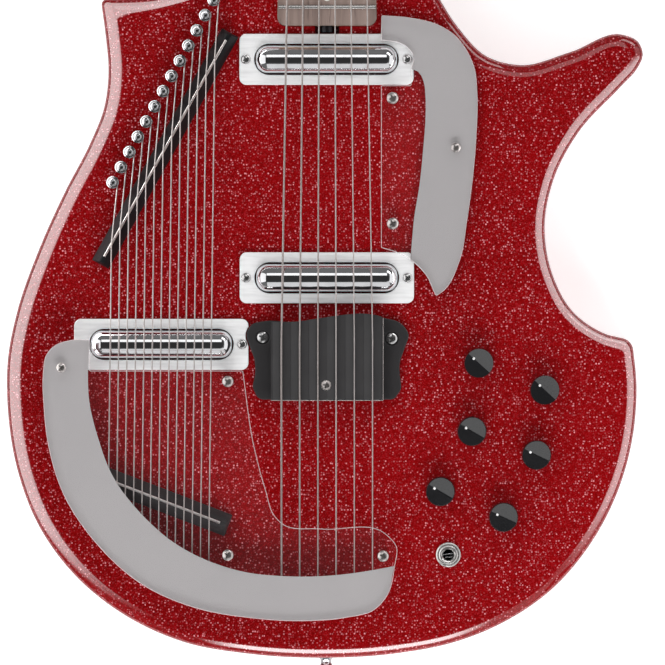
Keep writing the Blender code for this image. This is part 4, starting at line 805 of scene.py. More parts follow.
# %% Frets
fret = Tree("fret_wire", Width=2.4 * MM, Height=1.0 * MM, Camber=CAMBER * MM)
rod = fret.add("CurvePrimitiveLine", Start=(-1.0, 0.0, 0.0), End=(1.0, 0.0, 0.0))
rod = fret.add("ResampleCurve", Curve=rod, Count=15)
ring = fret.add("CurvePrimitiveCircle", Resolution=16, Radius=1.0)
bar = fret.add("CurveToMesh", Curve=rod, Profile_Curve=ring, Fill_Caps=True)
bars = fret.add("InstanceOnPoints", Points=fret.size("Geometry"), Instance=bar, Scale=fret.vector(
    X=fret.point_value("half"), Y=fret.size("Width") * 0.5, Z=fret.size("Height")))
bars = fret.add("RealizeInstances", Geometry=bars)
across, radius = fret.place("X"), fret.size("Camber")
drop = (radius * radius - across * across) ** 0.5 - radius
fret.close(fret.add("SetPosition", Geometry=bars, Offset=fret.vector(Z=drop)), nickel)
fret_ys = [SCALE * 2 ** (-n / 12) for n in range(1, 22)]
frets = seeds("frets", [(0.0, y, BOARD_TOP) for y in fret_ys],
              half=[(neck_width(y) / 2 - 0.5) * MM for y in fret_ys])
dress(grow(frets, fret), "steel")
print("frets:", len(frets.data.polygons), "faces")

# %% [markdown]
# ## Pickups
# Each pickup is a chromed tube with rounded ends, sunk in a slot of a satin metal
# surround. The slot's edge and the tube leave a narrow dark gap all round. The tube is a
# turned profile laid on its side; many steps keep its long reflections straight.

# %% Surrounds and tubes
BRIDGE_OUTLINE = (
    (-45.4, 4.5), (-42.4, 9.7), (-35.6, 11.5), (-19.3, 11.1), (-4.0, 13.2), (10.8, 15.2),
    (22.0, 15.7), (32.2, 13.4), (41.2, 10.6), (46.1, 4.0), (43.9, -3.7), (41.2, -11.9),
    (41.1, -18.6), (42.1, -26.6, 4.5), (38.0, -32.8, 4.0), (-39.0, -32.8, 5.0),
    (-41.9, -26.3), (-40.7, -18.6), (-40.9, -10.7), (-43.3, -3.7))
TO_X = Matrix.Rotation(math.radians(90), 3, "Y")
SURROUND, SLOT = (98.5, 28.8), (81.6, 17.5)
TUBE_RADIUS, TUBE_HALF_LENGTH, TUBE_AXIS = 7.95, 40.0, 39.2
for name, centre in PICKUPS.items():
    surround = piece(f"surround_{name}", prism(stadium(centre, *SURROUND, 4, 8), SEAT, 40.1), satin)
    carve(surround, prism(stadium(centre, *SLOT), 30, 50))
    if name == "drone":
        carve(surround, prism(rounded_outline(BRIDGE_OUTLINE, -0.6), 30, 50))
    dress(soften(surround, 0.45, 3, 50), "satin_chrome", f"{name}_pickup_surround")
    end = [(TUBE_RADIUS - inset, TUBE_HALF_LENGTH - drop) for inset, drop in quarter(6.75, 12)]
    profile = end + [(radius, -reach) for radius, reach in reversed(end)]
    tube = piece(f"tube_{name}", turned(profile, 72, (*centre, TUBE_AXIS), TO_X), chrome)
    dress(tube, "chrome", f"{name}_pickup_tube")

# %% [markdown]
# ## The buzz bridge
# This is the piece that makes the sound: a wide plate, crowned along the strings, with a
# shallow rib under each of them, so that the string grazes the plate and buzzes. Its
# shape follows a rule, so a tree makes it: a flat grid is bent by three sums. The front
# edge is a Float Curve, the crown is a parabola, and the ribs are the distance to the
# nearest string raised to a power.

# %% Buzz plate and its base
STRINGS_AT_BRIDGE, CROWN, REAR, FALL, RIB_DEPTH = 51.4, 50.35, -33.1, 1.2, 1.4
plate = Tree("buzz_plate", Width=63.3 * MM, Rear=REAR * MM, Crown=CROWN * MM, Fall=FALL * MM,
             Rib_Depth=RIB_DEPTH * MM, Pitch=STRINGS_AT_BRIDGE / 5 * MM, Foot=41.6 * MM)
grid = plate.add("MeshGrid", Size_X=1.0, Size_Y=1.0, Vertices_X=181, Vertices_Y=33)
u, v = plate.place("X") + 0.5, plate.place("Y") + 0.5
front = plate.add("ShaderNodeFloatCurve", Value=u)
dots = front.socket.node.mapping.curves[0].points
for place, value in ((0.19, 0.555), (0.44, 0.66), (0.67, 0.76), (0.845, 0.785)):
    dots.new(place, value)
dots[0].location, dots[-1].location = (0.0, 0.56), (1.0, 0.68)
front.socket.node.mapping.update()
rear = plate.size("Rear")
x = (u - 0.5) * plate.size("Width")
y = rear + (front * (20 * MM) - rear) * v
phase = x.maths("DIVIDE", x, plate.size("Pitch")) + 0.5
away = phase.maths("ABSOLUTE", phase - phase.maths("ROUND", phase)) * 2.0
fall = y.maths("DIVIDE", y, rear) ** 2.0 * plate.size("Fall")
z = plate.size("Crown") - fall - away ** 1.5 * plate.size("Rib_Depth")
top = plate.add("SetPosition", Geometry=grid, Position=plate.vector(X=x, Y=y, Z=z))
skirt = plate.add("ExtrudeMesh", "Mesh", Mesh=top, Offset=(0.0, 0.0, -1.0), Offset_Scale=1 * MM,
                  Individual=False)
pushed = Wire(plate.tree, skirt.socket.node.outputs["Top"])
flat = plate.vector(X=plate.place("X"), Y=plate.place("Y"), Z=plate.size("Foot"))
skirt = plate.add("SetPosition", Geometry=skirt, Selection=pushed, Position=flat)
skirt = plate.add("FlipFaces", Mesh=skirt)
whole = plate.add("JoinGeometry", Geometry=[top, skirt])
plate.close(plate.add("MergeByDistance", Geometry=whole, Distance=0.001 * MM), buzz_black)
buzz = grow(seeds("buzz_ribs", [(0.0, 0.0, 0.0)]), plate, 40)
PLATE_SCREW = (-0.5, -24.7)
carve(buzz, peg(3.0, CROWN - 4, CROWN + 9, PLATE_SCREW), sharp=40)
dress(buzz, "black_hardware", "buzz_plate")

BRIDGE_SCREWS = ((-36.3, 2.4), (36.5, 1.7))
base = piece("bridge_foot", prism(rounded_outline(BRIDGE_OUTLINE, 0.0, 2), SEAT, 41.3), bridge_black)
cuts = bmesh.new()
for spot in BRIDGE_SCREWS:
    peg(3.8, 39.8, 50, spot, bm=cuts)
carve(base, cuts)
dress(soften(base, 0.8, 4, 50), "black_hardware", "bridge_base")
print("buzz plate:", len(buzz.data.polygons), "faces")


def plate_height(x, y):
    """The plate's own rule again, for what lies along its edges."""
    phase = x / (STRINGS_AT_BRIDGE / 5) + 0.5
    return CROWN - FALL * (y / REAR) ** 2 - RIB_DEPTH * (2 * abs(phase - round(phase))) ** 1.5

# %% [markdown]
# ## The drone strings' bars and pins
# Thirteen sympathetic strings run from tuning pins over a ridge-shaped bar, the drone
# nut, and over a second bar under the lower guard. Each bar carries a steel wire on its
# crown. The pins have a domed head over a thin rim, and each one turns, so each is its
# own piece.

# %% Bars and pins
def ridge_bar(name, ends, width, paint, node):
    """A bar with sloping flanks and a narrow crown between two places."""
    bar = piece(name, loft(bmesh.new(), [
        raised(footprint(ends, half, short), z)
        for z, half, short in ((SEAT, width / 2, 0), (40.3, width / 2, 0), (47.3, 1.2, 1.2))]), paint)
    dress(soften(bar, 0.5, 4, 20, 40), "black_hardware", node)


NUT_BAR = ((-54.6, 174.4), (-128.1, 43.6))
LOW_BAR = ((-132.3, -74.6), (-55.7, -104.0))
ridge_bar("drone_nut_bar", NUT_BAR, 10.6, bar_black, "drone_nut")
ridge_bar("drone_bridge_bar", LOW_BAR, 12.8, lighter_bar_black, "drone_bridge")

PIN = ((0.0, 14.4), (2.2, 15.4), (2.2, 44.9), (2.5, 45.2), (3.3, 45.3), (3.6, 45.6), (3.6, 46.1),
       (3.4, 46.5), (3.1, 46.6), (2.9, 46.9), (2.55, 47.5), (2.0, 48.0), (1.4, 48.35),
       (0.7, 48.55), (0.0, 48.6))
for k, spot in enumerate(PINS, 1):
    body = f"drone_pin_{k:02d}"
    dress(piece(f"pin_{k:02d}", turned(PIN, 40, spot), shaded_chrome, 50), "chrome", body, body=body)

# %% [markdown]
# ## Strings, wires and leads
# A string is a line with a thickness. Its route is worked out from the same places as the
# solids': anchor, bridge, nut, and then some descending turns round its post or pin. One
# tree gives every route its round section; each point of a route carries its radius.

# %% Routes to round wire
wire = Tree("round_wire", Sides=12)
line = wire.add("MeshToCurve", Mesh=wire.size("Geometry"))
ring = wire.add("CurvePrimitiveCircle", Resolution=wire.size("Sides"), Radius=1.0)
wire.close(wire.add("CurveToMesh", Curve=line, Profile_Curve=ring, Fill_Caps=True,
                    Scale=wire.point_value("radius")), string_steel)


def wires(name, routes, paint, sides=12):
    """One piece of round wire from (route, radius) pairs."""
    spots, edges, radii = [], [], []
    for route, radius in routes:
        edges += [(len(spots) + k, len(spots) + k + 1) for k in range(len(route) - 1)]
        spots += route
        radii += [radius * MM] * len(route)
    return grow(seeds(name, spots, edges, radius=radii), wire, 60, paint, Sides=sides)


def winding(centre, radius, turns, top, pitch, steps=24):
    """Descending turns round a post, starting on its +X side and heading towards +Y."""
    angles = [2 * math.pi * k / steps for k in range(round(turns * steps) + 1)]
    return [(centre[0] + radius * math.cos(a), centre[1] + radius * math.sin(a),
             top - pitch * a / (2 * math.pi)) for a in angles]


def string_x(i, y):
    return (i / 5 - 0.5) * lerp(STRINGS_AT_BRIDGE, STRINGS_AT_NUT, max(y, 0.0) / SCALE)


def drone_crossing(k, ends):
    """Where drone string k crosses the line between two places."""
    (ax, ay), (bx, by) = ends
    slope = (by - ay) / (bx - ax)
    start = DRONE_FIRST + DRONE_PITCH * k
    y = (ay + slope * (start - ax)) / (1 - slope * DRONE_LEAN)
    return start + DRONE_LEAN * y, y


def joint_place(child):
    return Vector(joints[child]["pos_m"]) / MM


STRING_RADII, STRINGS_AT_NUT, NUT_GROOVE = (0.55, 0.50, 0.45, 0.40, 0.35, 0.35), 31.0, 49.05
joints = {joint["child"]: joint for joint in frame["joints"]}
wound_routes, plain_routes = [], []
for i, radius in enumerate(STRING_RADII):
    lift = CROWN + 0.3 + radius
    route = [(string_x(i, 0), -139, 42)]
    route += [(string_x(i, 0), y, lift - FALL * (y / REAR) ** 2) for y in spread(REAR, 0.0, 8)]
    route += [(string_x(i, NUT_Y), NUT_Y + past, NUT_GROOVE) for past in (0.0, 5.3)]
    route += winding(joint_place(f"tuner_post_{i + 1}"), 2.8 + radius, 1.75, 43.5 - 2 * radius,
                     2 * radius + 0.5)
    (wound_routes if i < 3 else plain_routes).append((route, radius))
DRONE_RADIUS, DRONE_FIRST, DRONE_PITCH, DRONE_LEAN, OVER_BARS = 0.35, -122.24, 4.75, 0.012, 49.75
LOW_ANCHOR = ((-129.0, -91.6), (-62.0, -141.1))
drone_routes = []
for k, pin in enumerate(PINS):
    route = [(*drone_crossing(k, ends), z)
             for ends, z in ((LOW_ANCHOR, 43.46), (LOW_BAR, OVER_BARS), (NUT_BAR, OVER_BARS))]
    route += winding(pin, 2.5 + DRONE_RADIUS, 1.25, 43.9, 1.2)
    drone_routes.append((route, DRONE_RADIUS))
# Bright wire along the plate's rear and right edges only: bare metal at the edge, and a painted
# highlight on the two edges that face the lamps.
edge_x = 31.7
rear_edge = [(x, REAR - 0.1, plate_height(x, REAR)) for x in spread(-edge_x, edge_x, 90)]
side_edge = [(edge_x, y, plate_height(edge_x, y)) for y in spread(REAR, 13.3, 24)]
dress(wires("bare_edge_highlights", [(rear_edge, 0.24), (side_edge, 0.15)], shaded_nickel, 8), "steel")
dress(wires("wound_strings", wound_routes, wound.material), "string_wire", "playing_strings")
dress(wires("plain_strings", plain_routes, string_steel), "string_wire")
dress(wires("drone_wires", drone_routes, string_steel, 10), "string_wire", "drone_strings")
for name, ends, paint, node in (
        ("nut_crown_wire", NUT_BAR, shaded_nickel, "drone_nut_wire"),
        ("bridge_crown_wire", LOW_BAR, jack_nickel, "drone_bridge_wire")):
    route = raised(footprint(ends, 0.0, 5)[:2], 48.35)
    dress(wires(name, [(route, 0.75)], paint, 16), "steel", node)
LEADS = (((-63.6, -1.6), (-30.1, 36.0), (24.9, 36.0), (77.9, -5.5)), ((-0.3, 159.4), (-0.1, 36.0)))
dress(wires("coil_leads", [(raised(run, 29.5), 1.4) for run in LEADS], insulation),
      "lead_insulation", "pickup_leads")
print("strings:", len(wound_routes) + len(plain_routes), "playing,", len(drone_routes), "drone")

# %% [markdown]
# The strings end under the lower guard: the playing strings in a stepped steel anchor,
# the drone strings in a slanted strip. Both solids were one with their strings, so they
# are made again here.

# %% String anchors
PROFILE = ((-145.0, SEAT), (-133.5, SEAT), (-133.5, 40.5), (-137.0, 40.5), (-138.6, 45.3),
           (-145.0, 45.3))
anchor = piece("playing_anchor", loft(bmesh.new(), [[(x, y, z) for y, z in PROFILE]
                                                    for x in (-31.0, 31.0)]), nickel)
dress(soften(anchor, 0.4, 3, 30), "steel")
strip = piece("drone_anchor", prism(footprint(LOW_ANCHOR, 4), SEAT, 46.1), nickel)
dress(soften(strip, 0.8, 3, 30), "steel")

# %% [markdown]
# ## The clear guards
# Two acrylic guards keep the hand off the strings' ends: they stand on spacers, clear of
# everything under them. The flat faces are nearly invisible, and the rim's faces get a whiter,
# more opaque copy of the acrylic: a painted highlight for the light a sawn and polished rim
# catches. The grey band is a thin layer under each guard.

# %% Guards, spacers and bands
UPPER_GUARD = (
    (30.7, 184.2, 0.8), (48.3, 182.6), (62.8, 178.8), (72.1, 173.1), (78.5, 165.1),
    (82.9, 155.8), (84.9, 139.0), (84.4, 117.5), (79.1, 68.4), (74.9, 45.5), (66.1, 28.8),
    (61.5, 25.4, 1.2), (55.9, 37.4), (49.0, 44.6), (37.9, 50.8), (30.5, 53.0, 0.6),
    (30.5, 144.6, 0.6), (47.4, 144.6, 0.8), (47.2, 153.6), (48.9, 160.3), (45.4, 165.8),
    (39.0, 169.1), (30.5, 170.1, 0.6))
LOWER_GUARD = (
    (-133.6, 1.0, 0.8), (-139.2, 1.4), (-146.3, 0.4), (-152.8, -1.8), (-157.9, -7.0),
    (-160.0, -18.6), (-159.6, -36.2), (-157.2, -57.6), (-148.0, -87.1), (-130.3, -113.4),
    (-104.8, -136.5), (-72.8, -150.5), (-43.3, -155.7), (-11.4, -157.4), (10.2, -155.6),
    (27.1, -150.9), (34.0, -143.0), (38.3, -126.1), (39.3, -115.6), (32.7, -108.0),
    (-3.3, -105.4), (-24.9, -102.7), (-29.4, -98.3), (-34.5, -83.6), (-41.3, -57.6),
    (-47.3, -16.4, 0.8), (-133.6, -16.4, 0.6))
UPPER_INNER = ((46.7, 45.4, 0.3), (47.9, 59.9), (48.6, 67.8), (51.9, 88.7), (54.1, 110.3),
               (55.2, 124.8), (55.2, 139.2), (54.1, 147.1), (51.2, 152.2), (47.4, 153.6, 0.3))
LOWER_INNER = (
    (20.7, -129.3), (4.7, -131.3), (-11.4, -132.1), (-27.3, -131.7), (-43.3, -130.1),
    (-59.3, -126.0), (-72.8, -120.6), (-88.8, -111.1), (-100.7, -100.7), (-109.6, -91.1),
    (-118.4, -79.2), (-124.0, -68.0), (-127.6, -57.6), (-131.1, -45.8), (-133.6, -33.8),
    (-134.4, -20.2), (-134.0, -8.2))
UPPER_SCREWS = ((37.0, 137.4), (37.1, 66.6), (72.7, 109.4))
LOWER_SCREWS = ((-149.7, -14.7), (-55.9, -22.6), (-55.9, -120.3), (31.6, -120.9))
upper_band = UPPER_GUARD[:12] + ((55.9, 37.4), (49.6, 44.0, 0.3)) + UPPER_INNER + UPPER_GUARD[19:]
lower_band = LOWER_GUARD[:17] + ((38.3, -126.1, 0.3),) + LOWER_INNER
for name, knots, low, thick, screws, grey in (
        ("upper", UPPER_GUARD, 41.7, 2.5, UPPER_SCREWS, upper_band),
        ("lower", LOWER_GUARD, 54.0, 3.0, LOWER_SCREWS, lower_band)):
    levels = ((0, 0.15), (0.15, 0.0), (thick - 0.4, 0.0), (thick - 0.1, 0.15), (thick, 0.4))
    guard = piece(f"guard_{name}", loft(bmesh.new(), [
        raised(rounded_outline(knots, inset, 2.5), low + rise) for rise, inset in levels]),
        acrylic, 25)
    # The rim's faces take the painted highlight.
    guard.data.materials.append(acrylic_rim_highlight)
    for face in guard.data.polygons:
        face.material_index = int(abs(face.normal.z) < 0.98)
    dress(guard, "clear_acrylic", f"{name}_guard")
    dress(piece(f"band_{name}", prism(rounded_outline(grey, 0.35, 2.5), low - 0.32, low - 0.04),
                grey_band.material), "clear_acrylic")
    spacers = bmesh.new()
    for spot in screws:
        peg(3.2, SEAT, low - 0.35, spot, bm=spacers)
    dress(piece(f"spacers_{name}", spacers, nickel), "steel")
print("guards: 2 on", len(UPPER_SCREWS + LOWER_SCREWS), "spacers")

# %% [markdown]
# ## Knobs and jack
# A knob is a tapered drum whose top is a gable: two planes that meet in a ridge along
# the pointer, with a white dot on it. The drum is cut by the two planes, and its edges
# are rounded, so that the ridge and rim catch a line of light. The jack is one turned
# profile: washer, nut and barrel round the hole, with a bright contact inside.

# %% Knobs
GABLE = ((-12, 36), (12, 36), (12, 45.2), (0, 51.6), (-12, 45.2))
for number, (x, y, pointer) in enumerate(KNOBS, 1):
    body = f"knob_{number}"
    turn = math.radians(pointer)
    ridge = Vector((math.cos(turn), math.sin(turn), 0.0))
    across = Vector((-ridge.y, ridge.x, 0.0))
    drum = piece(f"knob_cap_{number}", turned([(8.45, 38.6), (8.45, 39.2), (7.9, 53)], 72, (x, y)),
                 knob_black)
    carve(drum, loft(bmesh.new(), [[Vector((x, y, z)) + ridge * end + across * s for s, z in GABLE]
                                   for end in (-14, 14)]), "INTERSECT")
    soften(drum, 0.55, 4, 15, 30, harden=False)
    carve(drum, peg(3.0, 26, 39, (x, y)), "UNION", 30)
    for face in drum.data.polygons:
        face.use_smooth = face.area < 12 * MM * MM
    dress(drum, "black_plastic", body, body=body)
    spot = Vector((x, y, 0)) + ridge * 3.9
    dot = turned([(0.75, 50.5), (0.75, 51.5), (0.6, 51.75), (0.0, 51.85)], 24, spot)
    dress(piece(f"knob_dot_{number}", dot, dot_white), "black_plastic", body=body)

# %% Jack, neck plate, cover and controls
JACK_PROFILE = ((3.175, 42.3), (3.35, 42.5), (3.7, 42.5), (3.95, 42.3), (3.95, 40.6), (4.25, 40.6),
                (4.25, 41.4), (4.45, 41.6), (4.75, 41.6), (5.3, 41.3), (5.3, 38.6), (5.85, 38.6),
                (5.85, 39.1), (6.0, 39.25), (6.25, 39.25), (6.9, 38.9), (7.0, 38.7), (7.0, 38.3),
                (4.7, 38.3), (4.7, 27.9), (7.2, 27.9), (7.2, 15.9), (3.175, 15.9))
jack = piece("jack_socket", turned(JACK_PROFILE, 48, JACK, bored=True), jack_nickel, 30)
dress(jack, "chrome", "output_jack")
for name, outline in (
        ("jack_contact", ((-2.7, -0.1), (2.6, 0.5), (2.5, 1.1), (-2.75, 0.4))),
        ("jack_tongue", ((-1.5, -1.7), (1.9, -1.5), (2.4, -0.6), (-1.9, -1.0)))):
    contact = prism([(JACK[0] + x, JACK[1] + y) for x, y in outline], 40.4, 41.0)
    dress(soften(piece(name, contact, chrome), 0.15), "steel")

heel_plate = piece("heel_plate", prism(heel_outline(0.0, 8), heel_low.z, heel_high.z), chrome)
dress(soften(heel_plate, 0.5, 3), "chrome", "neck_plate")
cover = piece("back_cover", prism(rounded_outline(CONTROL_OUTLINE, -4.5, UNDIVIDED, 12), 0.2, 1.8),
              cover_black)
dress(soften(cover, 0.4, 3), "black_plastic", "control_cover")
repaint(zinc, "pot_plate")
repaint(chrome, "tuner_plate")
print("knobs:", len(KNOBS))

# %% [markdown]
# ## Tuners
# Six posts stand in a line on the headstock, each turned through a small gearbox by a
# flat oval key. A post is waisted where the string winds on. Bushings line the holes in
# the wood. The places and axes come from the frame's joints.

# %% Posts, bushings and keys
POST = ((3.0, 12.8), (3.0, 37.5), (2.85, 37.9), (2.5, 38.5), (2.5, 43.4), (2.8, 44.2), (3.0, 44.6),
        (3.0, 45.4), (2.8, 45.8), (2.4, 46.0), (0.0, 45.8))
KEY = ((0.42, 0.0), (0.60, 0.03), (0.76, 0.10), (0.88, 0.20), (0.96, 0.32), (1.0, 0.46),
       (0.98, 0.60), (0.91, 0.74), (0.78, 0.86), (0.60, 0.94), (0.38, 0.99), (0.0, 1.0))
bushings = bmesh.new()
for i in range(1, 7):
    body = f"tuner_post_{i}"
    spot = joint_place(body)[:2]
    dress(piece(f"string_post_{i}", turned(POST, 36, spot), chrome), "chrome", body, body=body)
    turned([(3.4, 35.5), (4.9, 35.5), (4.9, 36.5), (4.5, 36.9), (3.4, 36.9)], 36, spot,
           bm=bushings, bored=True)
    body = f"tuner_key_{i}"
    at, turn = joint_place(body), along(joints[body]["axis"])
    key = piece(f"key_{i}", peg(2.0, 4.8, 18, at, turn=turn), chrome)
    blade = turned([(7 * radius, 16.5 + 15 * h) for radius, h in KEY], 40, turn=turn)
    blade.transform(Matrix.Translation(at * MM) @ Matrix.Scale(8 / 14, 4, (0, 0, 1)))
    carve(key, blade, "UNION", 40)
    dress(key, "chrome", body, body=body)
dress(piece("post_bushings", bushings, chrome), "chrome")

# %% [markdown]
# ## Screws
# All screws are one form at different sizes: a shallow dome with a cross cut into it.
# The tree makes one head of radius 1, cuts the cross with a Boolean, and puts a copy on
# every point, scaled and turned by the point's own numbers. `tip` turns a head over for
# the back.

# %% Cross-head screws
screw = Tree("cross_screw", Dome=0.42, Slot=0.26, Depth=0.30)
dome = screw.size("Dome")
head = screw.add("MeshUVSphere", Segments=32, Rings=16, Radius=1.0)
head = screw.add("Transform", Geometry=head, Scale=screw.vector(X=1.0, Y=1.0, Z=dome))
slots = []
for turn in (0.0, math.pi / 2):
    block = screw.add("MeshCube", Size=screw.vector(X=1.22, Y=screw.size("Slot"),
                                                    Z=screw.size("Depth") * 2))
    slots.append(screw.add("Transform", Geometry=block, Rotation=(0, 0, turn),
                           Translation=screw.vector(Z=dome)))
head = screw.add("MeshBoolean", 0, {"operation": "DIFFERENCE", "solver": "EXACT"},
                 Mesh_1=head, Mesh_2=slots)
pose = screw.vector(X=screw.point_value("tip"), Z=screw.point_value("turn"))
screw.close(screw.add("InstanceOnPoints", Points=screw.size("Geometry"), Instance=head,
                      Rotation=pose, Scale=screw.point_value("size")), nickel)

# (x, y, z, radius, 1 for a screw in the back)
screws = []
for x, y in PICKUPS.values():
    screws += [(x + side * 45.6, y, 40.1, 2.8, 0) for side in (-1, 1)]
screws += [(x, y, 44.2, 3.4 if x < 50 else 2.8, 0) for x, y in UPPER_SCREWS]
screws += [(x, y, 57.0, 3.2 if x > -100 else 2.8, 0) for x, y in LOWER_SCREWS]
screws += [(x, y, 40.2, 3.6, 0) for x, y in BRIDGE_SCREWS]
screws += [(*PLATE_SCREW, 46.7, 2.9, 0)]
screws += [(x, heel_middle + side * 25.5, 1.1, 3.4, 1) for x in (-19, 19) for side in (-1, 1)]
screws += [(x, y, 0.75, 2.4, 1) for x, y in
           ((73, 6), (135, -17), (137, -83), (99, -139), (49, -139), (45.5, -74))]
screws += [(x, -141, 45.3, 2.2, 0) for x in (-24, 24)]
for name, paint, chosen in (
        ("guard_screws", shaded_nickel, [s for s in screws if s[2] > 44]),
        ("plate_screws", screw_steel, [s for s in screws if s[2] <= 44])):
    fasteners = grow(seeds(name, [s[:3] for s in chosen], size=[s[3] * MM for s in chosen],
                           turn=[0.4 + 1.7 * k for k in range(len(chosen))],
                           tip=[math.pi * s[4] for s in chosen]), screw, 40, paint)
    dress(fasteners, "steel")
    print(name + ":", len(chosen), "with", len(fasteners.data.polygons), "faces")

# %% [markdown]
# ## Floor, sky and lamps
# The background is white because the floor says so to the camera, to mirrors and to
# glass, while its diffuse part still takes the object's shadow. Overhead the sky is
# dark, as in a studio where the lamps stand at the sides: that keeps the lacquer deep
# red and draws the dark line along the middle of each chrome tube.

# %% Floor
def seen_by(tree, *kinds):
    """1 for the kinds of ray named, 0 for all others."""
    path = tree.nodes.new("ShaderNodeLightPath")
    first, *rest = (Wire(tree, path.outputs[f"Is {kind} Ray"]) for kind in kinds)
    for other in rest:
        first = first + other
    return first.clamped()


grid = bmesh.new()
bmesh.ops.create_grid(grid, x_segments=1, y_segments=1, size=12.0)
floor = piece("floor", grid, None)
floor.data.transform(Matrix.Translation((0, 0, -0.4 * MM)))
pale = bpy.data.materials.new("pale_floor")
pale.use_nodes = True
tree = pale.node_tree
tree.nodes.remove(tree.nodes["Principled BSDF"])
matte, glow, both = (tree.nodes.new("ShaderNode" + kind)
                     for kind in ("BsdfDiffuse", "Emission", "AddShader"))
matte.inputs["Color"].default_value = (0.9, 0.9, 0.9, 1.0)
plug(tree, glow.inputs["Strength"], seen_by(tree, "Camera", "Glossy", "Transmission") * 0.60)
tree.links.new(matte.outputs[0], both.inputs[0])
tree.links.new(glow.outputs[0], both.inputs[1])
tree.links.new(both.outputs[0], tree.nodes["Material Output"].inputs["Surface"])
floor.data.materials[0] = pale

# %% Sky
world = bpy.data.worlds.new("studio")
bpy.context.scene.world = world
world.use_nodes = True
tree = world.node_tree
ray, split = tree.nodes.new("ShaderNodeTexCoord"), tree.nodes.new("ShaderNodeSeparateXYZ")
tree.links.new(ray.outputs["Generated"], split.inputs[0])
seen = seen_by(tree, "Camera", "Transmission")
dusk = 0.035 + Wire(tree, split.outputs["Z"]).between(0.93, 0.60) * 0.13
sky = tree.nodes["Background"]
sky.inputs["Color"].default_value = (1.0, 1.0, 1.0, 1.0)
plug(tree, sky.inputs["Strength"], dusk * (1.0 - seen) + seen)


# %% Lamps
def area_lamp(name, wide, high, radiance):
    lamp = bpy.data.lights.new(name, "AREA")
    lamp.shape, lamp.size, lamp.size_y = "RECTANGLE", wide, high
    lamp.energy = radiance * math.pi * wide * high
    return placed(name, lamp)


BODY_MIDDLE, AWAY = Vector((0.0, 0.03, 0.03)), 2.6


def softbox(name, azimuth, polar, across, rise, radiance, diffuse=True, glossy=True):
    """A lamp that faces the body. Angles are in degrees: azimuth from +X, polar from the
    zenith, and how wide and how high the lamp looks from the body."""
    wide, high = (2 * AWAY * math.tan(math.radians(angle / 2)) for angle in (across, rise))
    made = area_lamp(name, wide, high, radiance)
    around, down = math.radians(azimuth), math.radians(polar)
    way = Vector((math.cos(around) * math.sin(down), math.sin(around) * math.sin(down),
                  math.cos(down)))
    made.location = BODY_MIDDLE + way * AWAY
    made.rotation_euler = way.to_track_quat("Z", "Y").to_euler()
    made.visible_diffuse, made.visible_glossy = diffuse, glossy


softbox("near_key", 274, 56, 54, 28, 5.65, glossy=False)
softbox("near_panel", 286, 58, 44, 46, 0.62, diffuse=False)
softbox("far_fill", 92, 62, 70, 24, 2.4, glossy=False)
softbox("far_strip", 90, 29, 26, 20, 1.25, diffuse=False)
softbox("far_right", 56, 57, 30, 14, 3.3, diffuse=False)
softbox("left_wall", 178, 52, 66, 62, 1.1)
softbox("right_wall", -4, 60, 64, 40, 0.9)

# %% [markdown]
# ## Lamps along the rim
# A photographer lays light low beside a lacquered body, so that its rounded edge shines
# while its flat top stays deep. Three lamps lie flat just above the rim and face down.
# Their own nodes keep them dark but for a strip that follows the outline, and only
# reflections see them.

# %% Rim lamps
RIM = [spot * MM for spot in body_outline()]
RIM_LAMP_Z, FADE_IN, FADE_OUT = 62 * MM, 4 * MM, 12 * MM
STEPS = 30                      # a ramp holds no more than 32 stops


def rim_at(axis, place, side):
    """How far out the outline lies, across one axis, at a place along it."""
    across = 1 - axis
    hits = [a[across] + (b[across] - a[across]) * (place - a[axis]) / (b[axis] - a[axis])
            for a, b in zip(RIM, RIM[1:] + RIM[:1]) if (a[axis] - place) * (b[axis] - place) < 0]
    return side * max(side * hit for hit in hits)


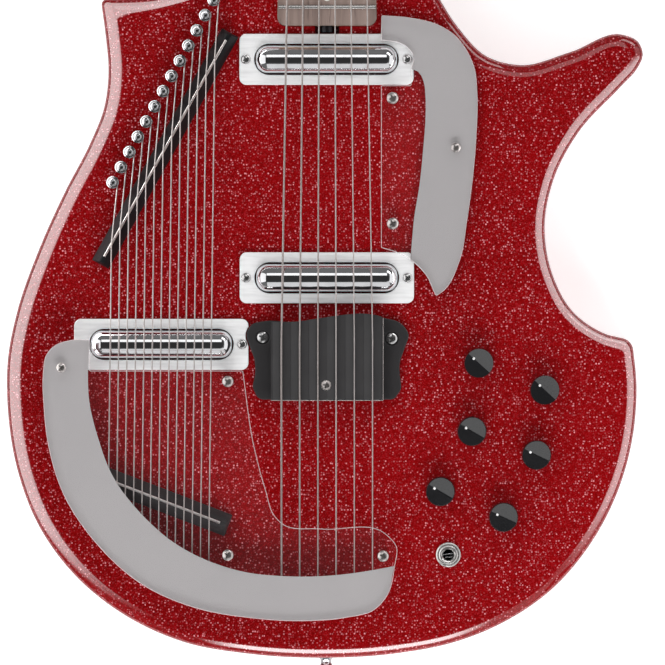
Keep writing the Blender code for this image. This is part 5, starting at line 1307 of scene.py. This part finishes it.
def rim_lamp(name, axis, side, stretch, strip, fades, radiance):
    """A flat lamp beside one side of the body. It runs along an axis (0 is X, 1 is Y) over a
    stretch; strip is where its light starts and ends, outwards from the outline; fades is how
    far the light takes to come up at either end of the stretch."""
    (start, end), (near, far), (first, last) = ([value * MM for value in pair]
                                                for pair in (stretch, strip, fades))
    rims = [rim_at(axis, place, side) for place in spread(start, end, STEPS)]
    low, high = min(rims), max(rims)
    sizes, middle = [0.0, 0.0], [0.0, 0.0, RIM_LAMP_Z]
    sizes[axis], sizes[1 - axis] = end - start, high - low + far + 10 * MM
    middle[axis], middle[1 - axis] = (start + end) / 2, (low + high + side * far) / 2
    made = area_lamp(name, *sizes, radiance)
    made.location = middle
    made.visible_camera = made.visible_diffuse = made.visible_transmission = False
    lamp = made.data
    lamp.use_nodes = True
    tree = lamp.node_tree
    here, parts, ramp, level = (tree.nodes.new("ShaderNode" + kind) for kind in
                                ("NewGeometry", "SeparateXYZ", "ValToRGB", "RGBToBW"))
    tree.links.new(here.outputs["Position"], parts.inputs[0])
    along, out = Wire(tree, parts.outputs[axis]), Wire(tree, parts.outputs[1 - axis])
    stops = ramp.color_ramp.elements
    while len(stops) < len(rims):
        stops.new(0.5)
    for stop, place, rim in zip(stops, spread(0.0, 1.0, STEPS), rims):
        stop.position, stop.color = place, (*[(rim - low) / (high - low)] * 3, 1.0)
    plug(tree, ramp.inputs[0], (along - start) * (1 / (end - start)))
    tree.links.new(ramp.outputs["Color"], level.inputs[0])
    reach = (out - (Wire(tree, level.outputs[0]) * (high - low) + low)) * side
    lit = (reach.between(near - FADE_IN / 2, near + FADE_IN / 2)
           * reach.between(far, far - FADE_OUT)
           * along.between(start, start + first) * along.between(end, end - last))
    plug(tree, tree.nodes["Emission"].inputs["Strength"], lit)


rim_lamp("left_rim", 1, -1, (-168, 236), (-3, 132), (60, 10), 6.2)
rim_lamp("near_rim", 0, -1, (-78, 108), (13, 46), (30, 40), 12.5)
rim_lamp("right_rim", 1, 1, (-150, 160), (8, 120), (60, 20), 5.3)

# %% [markdown]
# ## Colour
# The Standard view shows colours as they are written.

# %% Finish
bpy.context.scene.view_settings.view_transform = "Standard"
